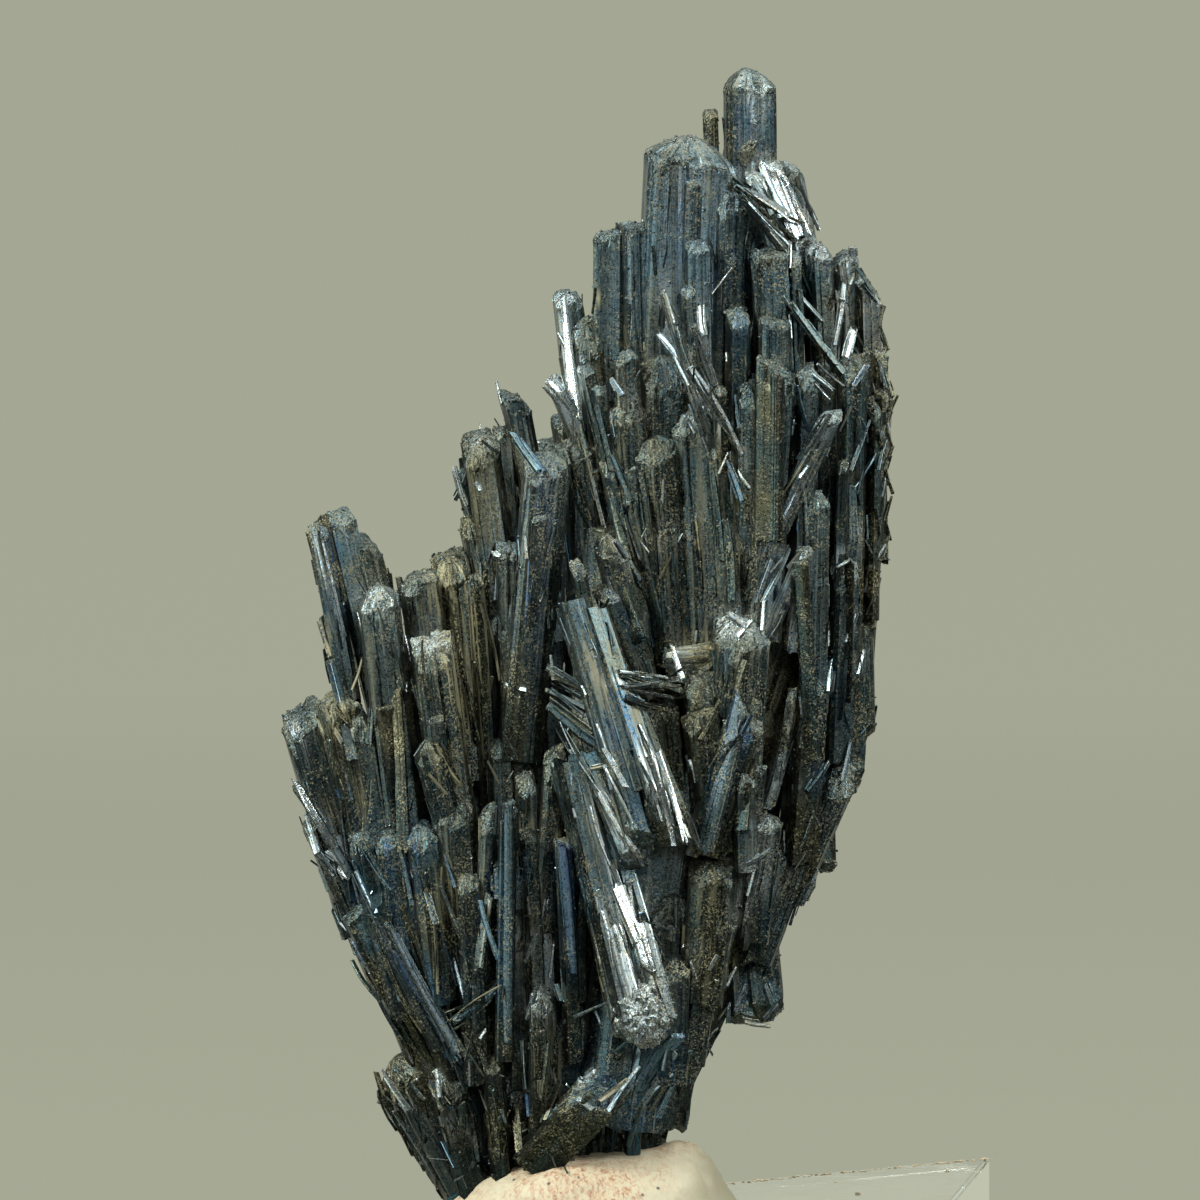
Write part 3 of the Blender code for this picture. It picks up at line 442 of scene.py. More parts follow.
def crystal_mesh(foot, end, width, thick, turn, lean, crown, fine, rise, dice):
    """One closed crystal: its points in mm, its faces, their places along the growth, its tip."""
    along, across, depth = axes_of(foot, end)
    length = float(np.linalg.norm(end - foot))
    rim, ran = ridged_outline(width, thick, turn, fine, dice)
    n, rough = len(rim), min(0.34, 0.07 * width)
    strips = np.cumsum(dice.random(n) < 0.25)
    drop = (dice.random(n + 1) ** 3 * rough * 2.6)[strips]
    ragged = np.roll(drop, n // 2) * 1.5
    crown = 0.85 * crown if crown > 0.9 else 0.35 * crown
    lean += dice.normal(0, 0.16) * min(width, 3.0)
    # Most tips are broken on a slant, so that their rough face turns to the front.
    slant = dice.uniform(0.2, 1.1) * (0.5 if crown > 0.6 else 1.0) * (width > 1.2)
    middle = length - 0.25 * slant * thick
    top = middle - crown + lean * rim[:, 0] / width - drop + slant * (rim[:, 1] - 0.25 * thick)
    rings = max(4, round(length / rise))
    share = np.sort(np.concatenate(((0.0, 0.97, 1.0), (np.arange(1, rings - 2)
                    + dice.uniform(-0.35, 0.35, rings - 3)) / (rings - 2) * 0.97)))
    stop = np.where(dice.random(n + 1) < 0.24, dice.uniform(0.3, 0.97, n + 1), 2.0)[strips]
    cut = (dice.random(n + 1) * min(0.30, 0.08 * width))[strips]
    reach = np.maximum(0.35, np.hypot(rim[:, 0], rim[:, 1]))
    # Thin blades narrow towards the tip, and most blades are bowed a little.
    taper = dice.uniform(0.0, 0.45 if width < 1.5 else 0.05)
    bow = dice.normal(0, 0.022 if width < 1.5 else 0.004, 2) * min(length, 12.0)
    points, ends = [], []
    for s in share:
        inset = np.where(s > stop, cut, 0.0) + dice.normal(0.0, 0.0007 * min(width, 4.0), n)
        keep = np.clip(1 - inset / reach, 0.35, 1.03) * (1 - taper * s)
        height = top * s - ragged * (1 - s) ** 6
        bent = (across * bow[0] + depth * bow[1]) * math.sin(math.pi * s)
        points.append(foot + bent + np.outer(rim[:, 0] * keep, across)
                      + np.outer(rim[:, 1] * keep, depth) + np.outer(height, along))
        ends.append(np.clip(1 - (top - height) / (0.3 + 0.13 * width), 0.0, 1.0))
    cap = (0.93, 0.80, 0.63, 0.45, 0.25) if n > 14 else (0.80, 0.45) if n > 6 else (0.6,)
    for s in cap:
        height = top + drop * (1 - s ** 5)
        height += (middle - height) * (1 - s ** 1.6) * 0.97
        points.append(foot + np.outer(rim[:, 0] * keep * s, across)
                      + np.outer(rim[:, 1] * keep * s, depth) + np.outer(height, along))
        # A broken end is rough all over, but a rounded one only near its top.
        ends.append(np.full(n, 1.0 if crown <= 0.9 else min(1.0, 1.2 - s)))
    points = np.vstack(points + [foot + along * middle, foot])
    ends = np.concatenate(ends + [np.array((1.0, 0.0))])
    points = crumbled(points, ends ** 2 * rough * 0.85, 0.22 + 0.16 * width)
    points = crumbled(points, ends ** 2 * rough * 0.40, 0.12 + 0.04 * width)
    levels = len(share) + len(cap)
    i = np.arange(n)
    j = (i + 1) % n
    quads = np.vstack([np.column_stack((k * n + i, k * n + j, (k + 1) * n + j, (k + 1) * n + i))
                       for k in range(levels - 1)])
    tip = np.column_stack(((levels - 1) * n + i, (levels - 1) * n + j, np.full(n, levels * n)))
    base = np.column_stack((j, i, np.full(n, levels * n + 1)))
    if np.dot(np.cross(across, depth), along) < 0:
        quads, tip, base = quads[:, ::-1], tip[:, ::-1], base[:, ::-1]
    heights = (points - foot) @ along
    places = np.column_stack((np.append(np.tile(rim[:, 2], levels), (0.0, 0.0)), heights))
    return points, quads, np.vstack((tip, base)), places + dice.uniform(0, 900, 2), ends


def side_blades(foot, end, width, thick, turn, crown, dice):
    """Thinner blades grown on a crystal, nearly parallel with it. Most lie flat on a face."""
    along, across, depth = axes_of(foot, end)
    length = float(np.linalg.norm(end - foot))
    angle = math.radians(turn)
    face = across * math.cos(angle) + depth * math.sin(angle)
    outward = depth * math.cos(angle) - across * math.sin(angle)
    for _ in range(int(dice.uniform(0.5, 1.3) + width * 0.5)):
        if dice.random() < 0.6:
            wide = dice.uniform(0.18, 0.55) * width
            deep = max(0.2, wide * dice.uniform(0.15, 0.35))
            spin = turn + dice.normal(0, 5)
            out = (face * dice.uniform(-0.5, 0.5) * (width - wide)
                   + outward * (thick / 2 - 0.25 * deep) * (-1 if dice.random() < 0.65 else 1))
        else:
            wide = dice.uniform(0.3, 0.30 + 0.22 * width)
            deep, spin = wide * dice.uniform(0.4, 0.9), dice.uniform(0, 90)
            where = dice.uniform(0, 2 * math.pi)
            out = (across * math.cos(where) * (width / 2 - 0.38 * wide)
                   + depth * math.sin(where) * (thick / 2 - 0.38 * wide))
        low = dice.uniform(0.0, 0.70)
        high = min(1.0, low + dice.uniform(0.18, 0.6)) * length - crown - dice.uniform(0.1, 0.8)
        splay = (across * dice.normal(0, 0.014) + depth * dice.normal(0, 0.014)) * length
        start = foot + along * low * length + out * 0.9
        finish = foot + along * high + out + splay * (high / length)
        if np.linalg.norm(finish - start) > 1.5:
            yield start, finish, wide, deep, spin


def grow(name, rows, seed, fine=0.24, rise=1.25, blades=True, finishes=()):
    """All the crystals of one zone, as one piece. A finish sets how clean, blue, ochre, dusty."""
    dice = np.random.default_rng(seed)
    parts = []
    for row in rows:
        foot, end = seen(*row[0:3]), seen(*row[3:6])
        width, thick, turn, lean, crown = row[6:11]
        parts.append(crystal_mesh(foot, end, width, thick, turn, lean, crown, fine, rise, dice))
        if blades:
            for start, finish, wide, deep, spin in side_blades(foot, end, *row[6:9], crown, dice):
                parts.append(crystal_mesh(start, finish, wide, deep, spin, 0.0,
                                          wide * 0.15, 0.34, 2.2, dice))
    points, faces, places, ends, first = [], [], [], [], 0
    tone = []
    for i, (part_points, quads, triangles, part_places, part_ends) in enumerate(parts):
        points.append(part_points)
        faces += (quads + first).tolist() + (triangles + first).tolist()
        places.append(part_places)
        ends.append(part_ends)
        dark = 0.3 if finishes and not any(finishes[i]) else 1.0
        tone.append(np.full(len(part_points), dark * dice.random()))
        first += len(part_points)
    points, places = np.vstack(points), np.vstack(places)
    stains = stains_at(points)
    if finishes:
        whole = np.repeat(finishes, [len(part[0]) for part in parts], axis=0).T
        stains = zip(("clean", "blue", "ochre", "dusty", "druse"), whole)
    mesh = bpy.data.meshes.new(name)
    mesh.from_pydata((points * MM).tolist(), [], faces)
    corners = np.empty(len(mesh.loops), np.int32)
    mesh.loops.foreach_get("vertex_index", corners)
    side = mesh.uv_layers.new(name="growth")
    side.uv.foreach_set("vector", (places[corners] * MM).astype(np.float32).ravel())
    for label, values in (("tip", np.concatenate(ends)), ("tone", np.concatenate(tone)),
                          *stains):
        layer = mesh.attributes.new(label, "FLOAT", "POINT")
        layer.data.foreach_set("value", np.asarray(values, np.float32))
    obj = linked(name, mesh)
    mesh.materials.append(stibnite)
    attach(obj, "root")
    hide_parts("stibnite_cluster")
    return obj


# Where the surface differs, as seen from the front, in mm: how far across, how high, half the
# length and half the width of the place, its lean from upright in degrees, and how strong it is.
# Clean faces shine, blue ones carry a thin tarnish, others hold ochre and rock dust, and a druse
# is a patch of tiny bright crystals.
CLEAN = (
    (7.8, 108.0, 9.5, 6.2, 0.0, 0.16), (-5.8, 75.0, 12.5, 4.8, 0.0, 0.12),
    (17.5, 113.0, 3.5, 2.5, -35.0, 0.90), (-3.2, 96.8, 6.9, 1.1, -10.1, 0.85),
    (-3.4, 92.0, 3.3, 0.7, -34.4, 0.90), (24.3, 101.7, 4.7, 0.5, 0.0, 0.80),
    (8.3, 96.4, 7.4, 0.5, -16.8, 0.80), (11.5, 91.3, 5.2, 0.4, -32.8, 0.90),
    (10.4, 96.8, 3.4, 0.4, -19.5, 0.80), (27.0, 101.2, 3.8, 1.5, 0.0, 0.50),
    (19.9, 84.2, 7.8, 0.8, 25.4, 0.60), (20.5, 85.2, 0.5, 0.5, 0.0, 0.90),
    (18.2, 73.2, 4.8, 1.8, 20.0, 0.55), (13.8, 70.5, 1.5, 1.8, 0.0, 0.60),
    (7.8, 66.4, 1.6, 0.6, 0.0, 0.90), (5.2, 77.5, 1.5, 0.4, 0.0, 0.80),
    (2.8, 76.5, 2.3, 0.3, -31.0, 0.80), (24.2, 76.2, 0.5, 0.8, 0.0, 0.70),
    (25.1, 69.9, 1.5, 0.3, 21.4, 0.70), (26.1, 66.3, 1.2, 0.3, 14.6, 0.70),
    (17.8, 55.2, 1.8, 0.5, 0.0, 1.00), (-29.8, 58.6, 2.2, 0.3, -32.3, 0.70),
    (-28.3, 50.9, 4.0, 0.6, -31.7, 1.00), (-25.9, 46.0, 1.0, 0.8, 0.0, 0.80),
    (-27.9, 47.8, 3.2, 1.9, -20.0, 0.35), (0.2, 48.0, 4.7, 0.2, -17.9, 0.90),
    (3.4, 39.1, 4.4, 2.1, -12.0, 0.80), (4.5, 31.3, 3.6, 3.0, 0.0, 0.40),
    (1.8, 49.8, 3.7, 0.5, -28.3, 0.70), (0.6, 58.0, 4.8, 0.5, -19.6, 0.25),
    (6.3, 52.8, 4.9, 0.8, -22.3, 1.00), (6.4, 47.2, 0.8, 3.6, 0.0, 0.35),
    (16.2, 47.0, 4.0, 1.8, 0.0, 0.35), (15.5, 44.2, 1.2, 1.0, 0.0, 0.70),
    (13.8, 40.8, 1.2, 1.0, 0.0, 0.60), (-7.5, 38.5, 1.1, 0.2, -28.8, 0.90),
    (-7.1, 37.5, 1.6, 0.2, 18.4, 0.90), (-4.9, 36.8, 1.8, 0.2, -3.3, 0.80),
    (-6.9, 32.1, 1.5, 0.2, 15.9, 0.70), (9.2, 37.8, 0.5, 0.8, 0.0, 0.90),
    (-16.3, 24.2, 1.2, 0.4, 0.0, 0.60), (-14.8, 20.2, 0.8, 0.6, 0.0, 0.70),
    (-12.6, 19.2, 0.8, 0.4, 0.0, 0.70), (-5.8, 32.0, 2.0, 0.8, 0.0, 0.50),
    (14.7, 123.1, 1.9, 0.4, -15.5, 0.40), (16.1, 121.5, 3.1, 0.5, 16.7, 0.40),
    (23.0, 107.7, 1.4, 3.0, 0.0, 0.40), (10.6, 98.9, 3.6, 0.3, -9.5, 0.70),
    (6.2, 100.0, 2.6, 0.3, -14.6, 0.60), (4.5, 62.4, 1.1, 0.5, 0.0, 0.40),
    (-2.8, 61.9, 3.2, 0.3, -59.8, 0.50), (-0.6, 64.7, 4.6, 0.2, -82.6, 0.45),
    (-27.4, 74.3, 5.5, 0.2, -14.7, 0.50), (-17.2, 68.3, 1.0, 1.2, 0.0, 0.45),
    (10.1, 90.0, 1.9, 0.4, -36.3, 0.60), (25.6, 78.5, 2.0, 0.6, 0.0, 0.40),
    (19.5, 54.5, 2.1, 0.3, -14.0, 0.40), (27.7, 100.2, 2.4, 0.3, -17.3, 0.55),
    (28.8, 89.2, 3.8, 0.2, -3.1, 0.50), (16.9, 44.9, 2.4, 0.7, 0.0, 0.50),
    (-1.2, 24.8, 1.5, 0.3, 55.8, 0.50), (2.6, 39.0, 3.3, 1.3, -25.0, 1.00),
)
BLUE = (
    (-10.5, 44.3, 1.4, 0.5, 0.0, 1.00), (-7.4, 45.7, 1.1, 0.4, 0.0, 1.00),
    (-1.6, 43.2, 2.2, 0.6, 0.0, 0.90), (-3.6, 41.8, 6.8, 1.2, 0.0, 0.80),
    (-18.0, 45.0, 5.5, 2.0, 0.0, 0.55), (-24.0, 46.8, 2.2, 1.5, 0.0, 0.60),
    (-20.2, 36.2, 4.0, 0.7, -21.1, 0.70), (-20.1, 35.2, 1.8, 0.9, 0.0, 0.50),
    (-15.4, 29.0, 2.6, 0.5, -38.7, 0.70), (13.8, 58.5, 2.0, 1.8, 0.0, 0.60),
    (23.0, 65.0, 1.5, 0.4, 0.0, 0.60), (21.8, 55.0, 1.5, 1.2, 0.0, 0.45),
    (6.0, 27.0, 3.5, 2.0, 0.0, 0.60), (0.1, 29.5, 2.0, 0.7, 0.0, 0.60),
    (3.6, 22.5, 5.0, 0.8, 0.0, 0.50), (-0.2, 23.6, 2.1, 3.0, 0.0, 0.55),
    (14.0, 32.8, 1.2, 0.5, 0.0, 0.50), (17.1, 32.8, 1.2, 0.7, 0.0, 0.50),
    (-1.4, 69.3, 2.2, 0.5, -26.6, 0.70), (9.0, 106.8, 9.2, 8.0, 0.0, 0.35),
    (15.2, 120.1, 2.6, 2.4, 0.0, 0.35), (5.0, 108.0, 8.5, 1.0, 0.0, 0.60),
    (-3.4, 97.0, 6.5, 1.6, 0.0, 0.50), (-5.8, 75.5, 13.0, 4.8, 0.0, 0.35),
    (18.2, 73.2, 4.8, 1.8, 0.0, 0.60), (-11.0, 39.0, 7.5, 3.0, 0.0, 0.35),
    (1.5, 60.5, 4.0, 2.5, 0.0, 0.35), (2.5, 48.0, 5.5, 3.5, 0.0, 0.30),
    (-27.0, 74.5, 6.0, 1.5, 0.0, 0.45), (13.5, 59.0, 3.5, 1.5, 0.0, 0.40),
    (-18.6, 34.8, 5.9, 1.7, -26.3, 1.00), (-22.5, 43.0, 6.5, 2.5, 0.0, 0.60),
    (2.0, 72.5, 4.0, 2.0, 0.0, 0.30), (7.2, 98.5, 4.0, 1.8, 0.0, 0.35),
)
OCHRE = (
    (8.8, 80.0, 7.5, 7.2, 0.0, 0.35), (-13.7, 63.8, 11.2, 2.4, 0.0, 0.85),
    (-12.0, 57.5, 5.0, 0.5, 0.0, 0.70), (-2.0, 84.2, 4.2, 2.0, 0.0, 0.35),
    (-15.4, 56.2, 2.2, 0.3, -29.4, 0.90), (-26.6, 60.8, 2.8, 1.9, 0.0, 0.75),
    (-24.2, 52.5, 3.0, 0.8, 0.0, 0.60), (12.9, 37.8, 2.1, 0.8, 0.0, 0.60),
    (-7.3, 49.7, 0.8, 0.7, 0.0, 0.60), (-3.6, 48.8, 0.7, 0.9, 0.0, 0.80),
    (0.5, 103.0, 0.5, 1.0, 0.0, 0.80), (-5.2, 25.8, 3.2, 1.2, 0.0, 0.60),
    (9.7, 67.8, 1.8, 1.9, 0.0, 0.70), (18.5, 59.0, 1.0, 0.5, 0.0, 0.80),
    (19.2, 61.1, 1.4, 0.6, 0.0, 0.80), (-15.5, 74.8, 2.2, 2.0, 0.0, 0.80),
    (-15.8, 70.5, 2.0, 2.8, 0.0, 0.50), (1.5, 90.8, 2.2, 1.5, 0.0, 0.50),
    (10.2, 77.0, 3.5, 1.2, 0.0, 0.35), (17.2, 67.5, 5.0, 2.8, 0.0, 0.25),
    (12.0, 81.5, 3.0, 4.0, 0.0, 0.20), (-14.8, 42.5, 3.0, 2.8, 0.0, 0.40),
    (12.0, 39.5, 7.0, 2.0, 0.0, 0.30), (-27.6, 69.0, 1.5, 0.6, 0.0, 0.60),
    (5.8, 101.5, 2.0, 1.2, 0.0, 0.45), (7.0, 80.5, 4.0, 3.0, 0.0, 0.20),
    (0.8, 87.0, 1.5, 1.8, 0.0, 0.45),
)
DUSTY = (
    (8.8, 118.0, 1.2, 4.7, 0.0, 0.75), (14.9, 124.8, 1.3, 2.5, 0.0, 0.55),
    (1.5, 64.7, 7.1, 2.3, -20.6, 0.95), (0.5, 51.0, 4.5, 2.0, -15.0, 0.35),
    (8.5, 115.5, 3.0, 4.5, 0.0, 0.50), (8.0, 91.0, 3.5, 8.0, 0.0, 0.35),
    (-13.5, 63.5, 12.0, 2.5, 0.0, 0.60), (-8.8, 67.5, 11.0, 3.2, 0.0, 0.25),
    (-14.8, 72.0, 4.5, 2.8, 0.0, 0.60), (-22.0, 64.5, 8.0, 4.0, 0.0, 0.35),
    (14.0, 55.5, 13.0, 5.0, 0.0, 0.30), (21.5, 88.0, 11.5, 3.5, 0.0, 0.15),
    (2.0, 64.5, 8.0, 3.0, 0.0, 0.30), (-7.0, 36.5, 14.0, 3.0, 0.0, 0.35),
    (-17.5, 21.5, 5.0, 5.5, 0.0, 0.25), (-10.5, 83.0, 6.5, 3.5, 0.0, 0.35),
    (15.5, 98.5, 4.0, 1.5, 0.0, 0.30), (6.0, 94.5, 3.0, 3.0, 0.0, 0.50),
    (10.0, 38.5, 7.0, 2.0, 0.0, 0.35), (6.0, 58.0, 4.5, 2.0, 0.0, 0.25),
    (-6.0, 84.5, 4.0, 2.0, 0.0, 0.35), (12.0, 121.0, 3.5, 2.0, 0.0, 0.20),
    (-13.8, 46.5, 8.0, 3.8, 0.0, 0.40), (-24.9, 53.0, 3.5, 2.1, 0.0, 0.40),
)
DRUSE = (
    (-22.1, 72.7, 1.4, 2.6, 0.0, 0.45), (-16.8, 68.4, 0.9, 2.8, 0.0, 0.60),
    (8.0, 118.5, 0.7, 2.5, 0.0, 0.20), (2.2, 92.8, 1.2, 2.2, 0.0, 0.50),
    (15.5, 44.8, 1.6, 1.0, 0.0, 0.90), (13.8, 41.0, 1.0, 1.0, 0.0, 0.80),
    (13.8, 70.5, 1.5, 1.8, 0.0, 0.90), (15.0, 125.4, 0.4, 1.5, 0.0, 0.15),
    (-3.5, 102.8, 0.8, 1.0, 0.0, 0.80), (5.4, 31.5, 3.5, 1.4, 0.0, 0.80),
    (7.5, 79.2, 1.2, 1.5, 0.0, 0.50), (-11.5, 88.8, 0.8, 1.5, 0.0, 0.50),
    (21.0, 107.4, 1.1, 2.0, 0.0, 0.60),
)


def stains_at(points):
    """How clean, blue, ochre, dusty and crusted with druse the surface is at each point."""
    share = VIEW_DISTANCE / (VIEW_DISTANCE + points[:, 1])
    x, z = points[:, 0] * share, VIEW_HEIGHT + (points[:, 2] - VIEW_HEIGHT) * share
    front = np.clip((4.0 - points[:, 1]) / 3.0, 0.0, 1.0)
    for label, places in (("clean", CLEAN), ("blue", BLUE), ("ochre", OCHRE), ("dusty", DUSTY),
                          ("druse", DRUSE)):
        amount = np.zeros(len(points))
        for px, pz, half_long, half_wide, lean, strength in places:
            c, s = math.cos(math.radians(lean)), math.sin(math.radians(lean))
            up, side = (x - px) * s + (z - pz) * c, (x - px) * c - (z - pz) * s
            near = (up / (half_long + 0.25)) ** 4 + (side / (half_wide + 0.25)) ** 4
            amount = np.maximum(amount, strength * np.exp(-near))
        yield label, amount * front


stibnite = bpy.data.materials.new("stibnite_blades")
stibnite.use_nodes = True
nodes, links = stibnite.node_tree.nodes, stibnite.node_tree.links
shader = nodes["Principled BSDF"]
growth = nodes.new("ShaderNodeUVMap")
growth.uv_map = "growth"
place = nodes.new("ShaderNodeTexCoord")


def put(kind, **values):
    node = nodes.new(kind)
    for key, value in values.items():
        if key in node.inputs:
            node.inputs[key].default_value = value
        else:
            setattr(node, key, value)
    return node


def pattern(across, along, detail, rough=0.6):
    """Streaks that follow the growth direction: so many to the metre across and along."""
    turn = put("ShaderNodeMapping")
    turn.inputs["Scale"].default_value = (across, along, 1.0)
    links.new(growth.outputs["UV"], turn.inputs["Vector"])
    streak = put("ShaderNodeTexNoise", Scale=1.0, Detail=detail, Roughness=rough)
    links.new(turn.outputs["Vector"], streak.inputs["Vector"])
    return streak.outputs["Fac"]


def speckle(scale, detail, rough=0.6):
    """Grains and clouds that ignore the growth direction."""
    cloud = put("ShaderNodeTexNoise", Scale=scale, Detail=detail, Roughness=rough)
    links.new(place.outputs["Object"], cloud.inputs["Vector"])
    return cloud.outputs["Fac"]


def amount_of(label):
    return put("ShaderNodeAttribute", attribute_name=label).outputs["Fac"]


def between(value, low, high, out_low=0.0, out_high=1.0):
    node = put("ShaderNodeMapRange")
    node.inputs["From Min"].default_value, node.inputs["From Max"].default_value = low, high
    node.inputs["To Min"].default_value, node.inputs["To Max"].default_value = out_low, out_high
    links.new(value, node.inputs["Value"])
    return node.outputs["Result"]


def combine(how, first, second):
    node = put("ShaderNodeMath", operation=how)
    for socket, value in zip(node.inputs, (first, second)):
        if isinstance(value, float):
            socket.default_value = value
        else:
            links.new(value, socket)
    return node.outputs["Value"]


def tinted(base, colour, share):
    """The base colour turned towards another colour by a share."""
    node = put("ShaderNodeMix", data_type="RGBA")
    for socket, value in ((node.inputs[0], share), (node.inputs[6], base), (node.inputs[7], colour)):
        if isinstance(value, tuple):
            socket.default_value = (*value, 1.0)
        else:
            links.new(value, socket)
    return node.outputs[2]


coarse = pattern(2300.0, 14.0, 2.0)
fine = pattern(7000.0, 40.0, 3.0, 0.65)
broad = pattern(620.0, 30.0, 2.0)
smears = pattern(1500.0, 90.0, 4.0, 0.7)
grain = speckle(5200.0, 3.0, 0.75)
clouds = speckle(260.0, 4.0)
wide_clouds = speckle(90.0, 2.0)
druse = amount_of("druse")
tip = combine("MAXIMUM", amount_of("tip"), druse)
tone = amount_of("tone")
crumbs = put("ShaderNodeTexVoronoi", Scale=8200.0)
links.new(place.outputs["Object"], crumbs.inputs["Vector"])
parted = put("ShaderNodeSeparateColor")
links.new(crumbs.outputs["Color"], parted.inputs["Color"])
crumb = parted.outputs["Red"]

streaks = combine("ADD", combine("MULTIPLY", coarse, 0.65), combine("MULTIPLY", fine, 0.35))
colour = tinted((0.011, 0.018, 0.018), (0.054, 0.090, 0.097), between(streaks, 0.38, 0.62))
colour = tinted(colour, (0.100, 0.148, 0.155), between(tone, 0.30, 1.0, 0.0, 0.7))
olive = combine("MULTIPLY", between(wide_clouds, 0.42, 0.58), between(tone, 0.90, 0.30, 0.20, 0.95))
colour = tinted(colour, (0.072, 0.074, 0.047), olive)
colour = tinted(colour, (0.036, 0.115, 0.140), combine("MULTIPLY", between(broad, 0.50, 0.62), 0.35))
colour = tinted(colour, (0.006, 0.009, 0.009), between(fine, 0.42, 0.34, 0.0, 0.8))
# Hairline cracks and ledges run across the blades.
split = combine("ABSOLUTE", combine("SUBTRACT", pattern(700.0, 1600.0, 3.0), 0.5), 0.0)
split = between(split, 0.024, 0.006, 0.0, 0.75)
colour = tinted(colour, (0.009, 0.009, 0.007), split)
# Towards the foot the blades are coloured darker: partly grime, partly painted shade for the dim bottom of
# the cluster. Here and there single crumbs of every face are coloured almost black.
upright = put("ShaderNodeSeparateXYZ")
links.new(place.outputs["Object"], upright.inputs["Vector"])
foot_grime_and_shade = between(upright.outputs["Z"], 0.034, 0.014, 0.0, 0.72)
colour = tinted(colour, (0.009, 0.012, 0.011), foot_grime_and_shade)

films = put("ShaderNodeValToRGB")
films.color_ramp.elements[0].position, films.color_ramp.elements[0].color = 0.34, (0.075, 0.21, 0.26, 1)
films.color_ramp.elements[1].position, films.color_ramp.elements[1].color = 0.72, (0.055, 0.045, 0.11, 1)
for position, film in ((0.46, (0.035, 0.15, 0.22)), (0.56, (0.014, 0.10, 0.22)), (0.64, (0.009, 0.05, 0.21))):
    films.color_ramp.elements.new(position).color = (*film, 1)
links.new(broad, films.inputs["Fac"])
tarnish = combine("MULTIPLY", amount_of("blue"), between(coarse, 0.36, 0.58, 0.15, 0.9))
colour = tinted(colour, films.outputs["Color"], tarnish)

bare = combine("MULTIPLY", amount_of("clean"), between(streaks, 0.40, 0.56, 0.05, 0.90))
glints = combine("MULTIPLY", between(coarse, 0.62, 0.68), between(tone, 0.55, 1.0, 0.0, 0.5))
crusted = combine("MULTIPLY", between(tip, 0.45, 0.9), between(crumb, 0.90, 1.0, 0.0, 0.5))
crusted = combine("MAXIMUM", crusted, combine("MULTIPLY", druse, between(crumb, 0.40, 0.80)))
bare = combine("MAXIMUM", combine("MAXIMUM", bare, glints), crusted)
metal = tinted((0.46, 0.60, 0.66), (0.56, 0.54, 0.44), between(parted.outputs["Green"], 0.45, 0.8))
colour = tinted(colour, metal, bare)
colour = tinted(colour, (0.005, 0.006, 0.006), between(crumb, 0.20, 0.08, 0.0, 0.75))

# Dust: single specks everywhere, streaks of it in the grooves, and patches of it.
specks = combine("MULTIPLY", between(crumb, 0.86, 0.96, 0.0, 0.9), between(clouds, 0.38, 0.56, 0.25, 1.0))
grit = combine("MULTIPLY", between(crumb, 0.66, 0.92), between(clouds, 0.46, 0.60, 0.0, 0.75))
dirt = combine("MAXIMUM", between(smears, 0.52, 0.60, 0.0, 0.9), between(crumb, 0.72, 0.90, 0.0, 0.85))
dust = combine("MAXIMUM", combine("MAXIMUM", specks, grit),
               combine("MULTIPLY", amount_of("dusty"), dirt))
capped = combine("MULTIPLY", between(tip, 0.2, 0.9), between(grain, 0.50, 0.62, 0.0, 0.45))
dust = combine("MAXIMUM", dust, capped)
# Towards the foot the dust is thinned too, so that part shows darker: partly grime, partly painted shade.
dust = combine("MULTIPLY", dust, between(upright.outputs["Z"], 0.034, 0.014, 1.0, 0.50))
ochre = combine("MULTIPLY", amount_of("ochre"), combine("MAXIMUM", between(smears, 0.50, 0.58), between(crumb, 0.75, 0.9)))
rusty = combine("MULTIPLY", between(wide_clouds, 0.52, 0.64), combine("MULTIPLY", grit, 0.9))
ochre = combine("MAXIMUM", ochre, rusty)
colour = tinted(colour, (0.200, 0.186, 0.108), dust)
earth = tinted((0.265, 0.250, 0.145), (0.38, 0.23, 0.06), between(grain, 0.60, 0.72))
colour = tinted(colour, earth, ochre)
links.new(colour, shader.inputs["Base Color"])
dull = combine("MAXIMUM", dust, ochre)
links.new(between(dull, 0.0, 1.0, 1.0, 0.15), shader.inputs["Metallic"])
matt = combine("ADD", between(fine, 0.3, 0.7, 0.30, 0.44), combine("MULTIPLY", dull, 0.30))
matt = combine("SUBTRACT", matt, combine("MULTIPLY", bare, 0.12))
links.new(matt, shader.inputs["Roughness"])
ridges = put("ShaderNodeBump", Strength=0.40, Distance=0.00008)
links.new(streaks, ridges.inputs["Height"])
grains = put("ShaderNodeBump", Strength=0.6, Distance=0.00012)
links.new(combine("MULTIPLY", grain, between(tip, 0.3, 0.9, 0.15, 1.0)), grains.inputs["Height"])
links.new(ridges.outputs["Normal"], grains.inputs["Normal"])
# Every crumb of the crust has its own facet, turned its own way.
facet = put("ShaderNodeVectorMath", operation="SUBTRACT")
links.new(crumbs.outputs["Color"], facet.inputs[0])
facet.inputs[1].default_value = (0.5, 0.5, 0.5)
turned = put("ShaderNodeVectorMath", operation="SCALE")
links.new(facet.outputs["Vector"], turned.inputs[0])
crust = combine("MAXIMUM", between(tip, 0.35, 0.95, 0.0, 0.6), between(clouds, 0.46, 0.64, 0.02, 0.22))
links.new(crust, turned.inputs["Scale"])
leaning = put("ShaderNodeVectorMath", operation="ADD")
links.new(grains.outputs["Normal"], leaning.inputs[0])
links.new(turned.outputs["Vector"], leaning.inputs[1])
facing = put("ShaderNodeVectorMath", operation="NORMALIZE")
links.new(leaning.outputs["Vector"], facing.inputs[0])
links.new(facing.outputs["Vector"], shader.inputs["Normal"])

summit = grow("summit_crystals", SUMMIT, 11)


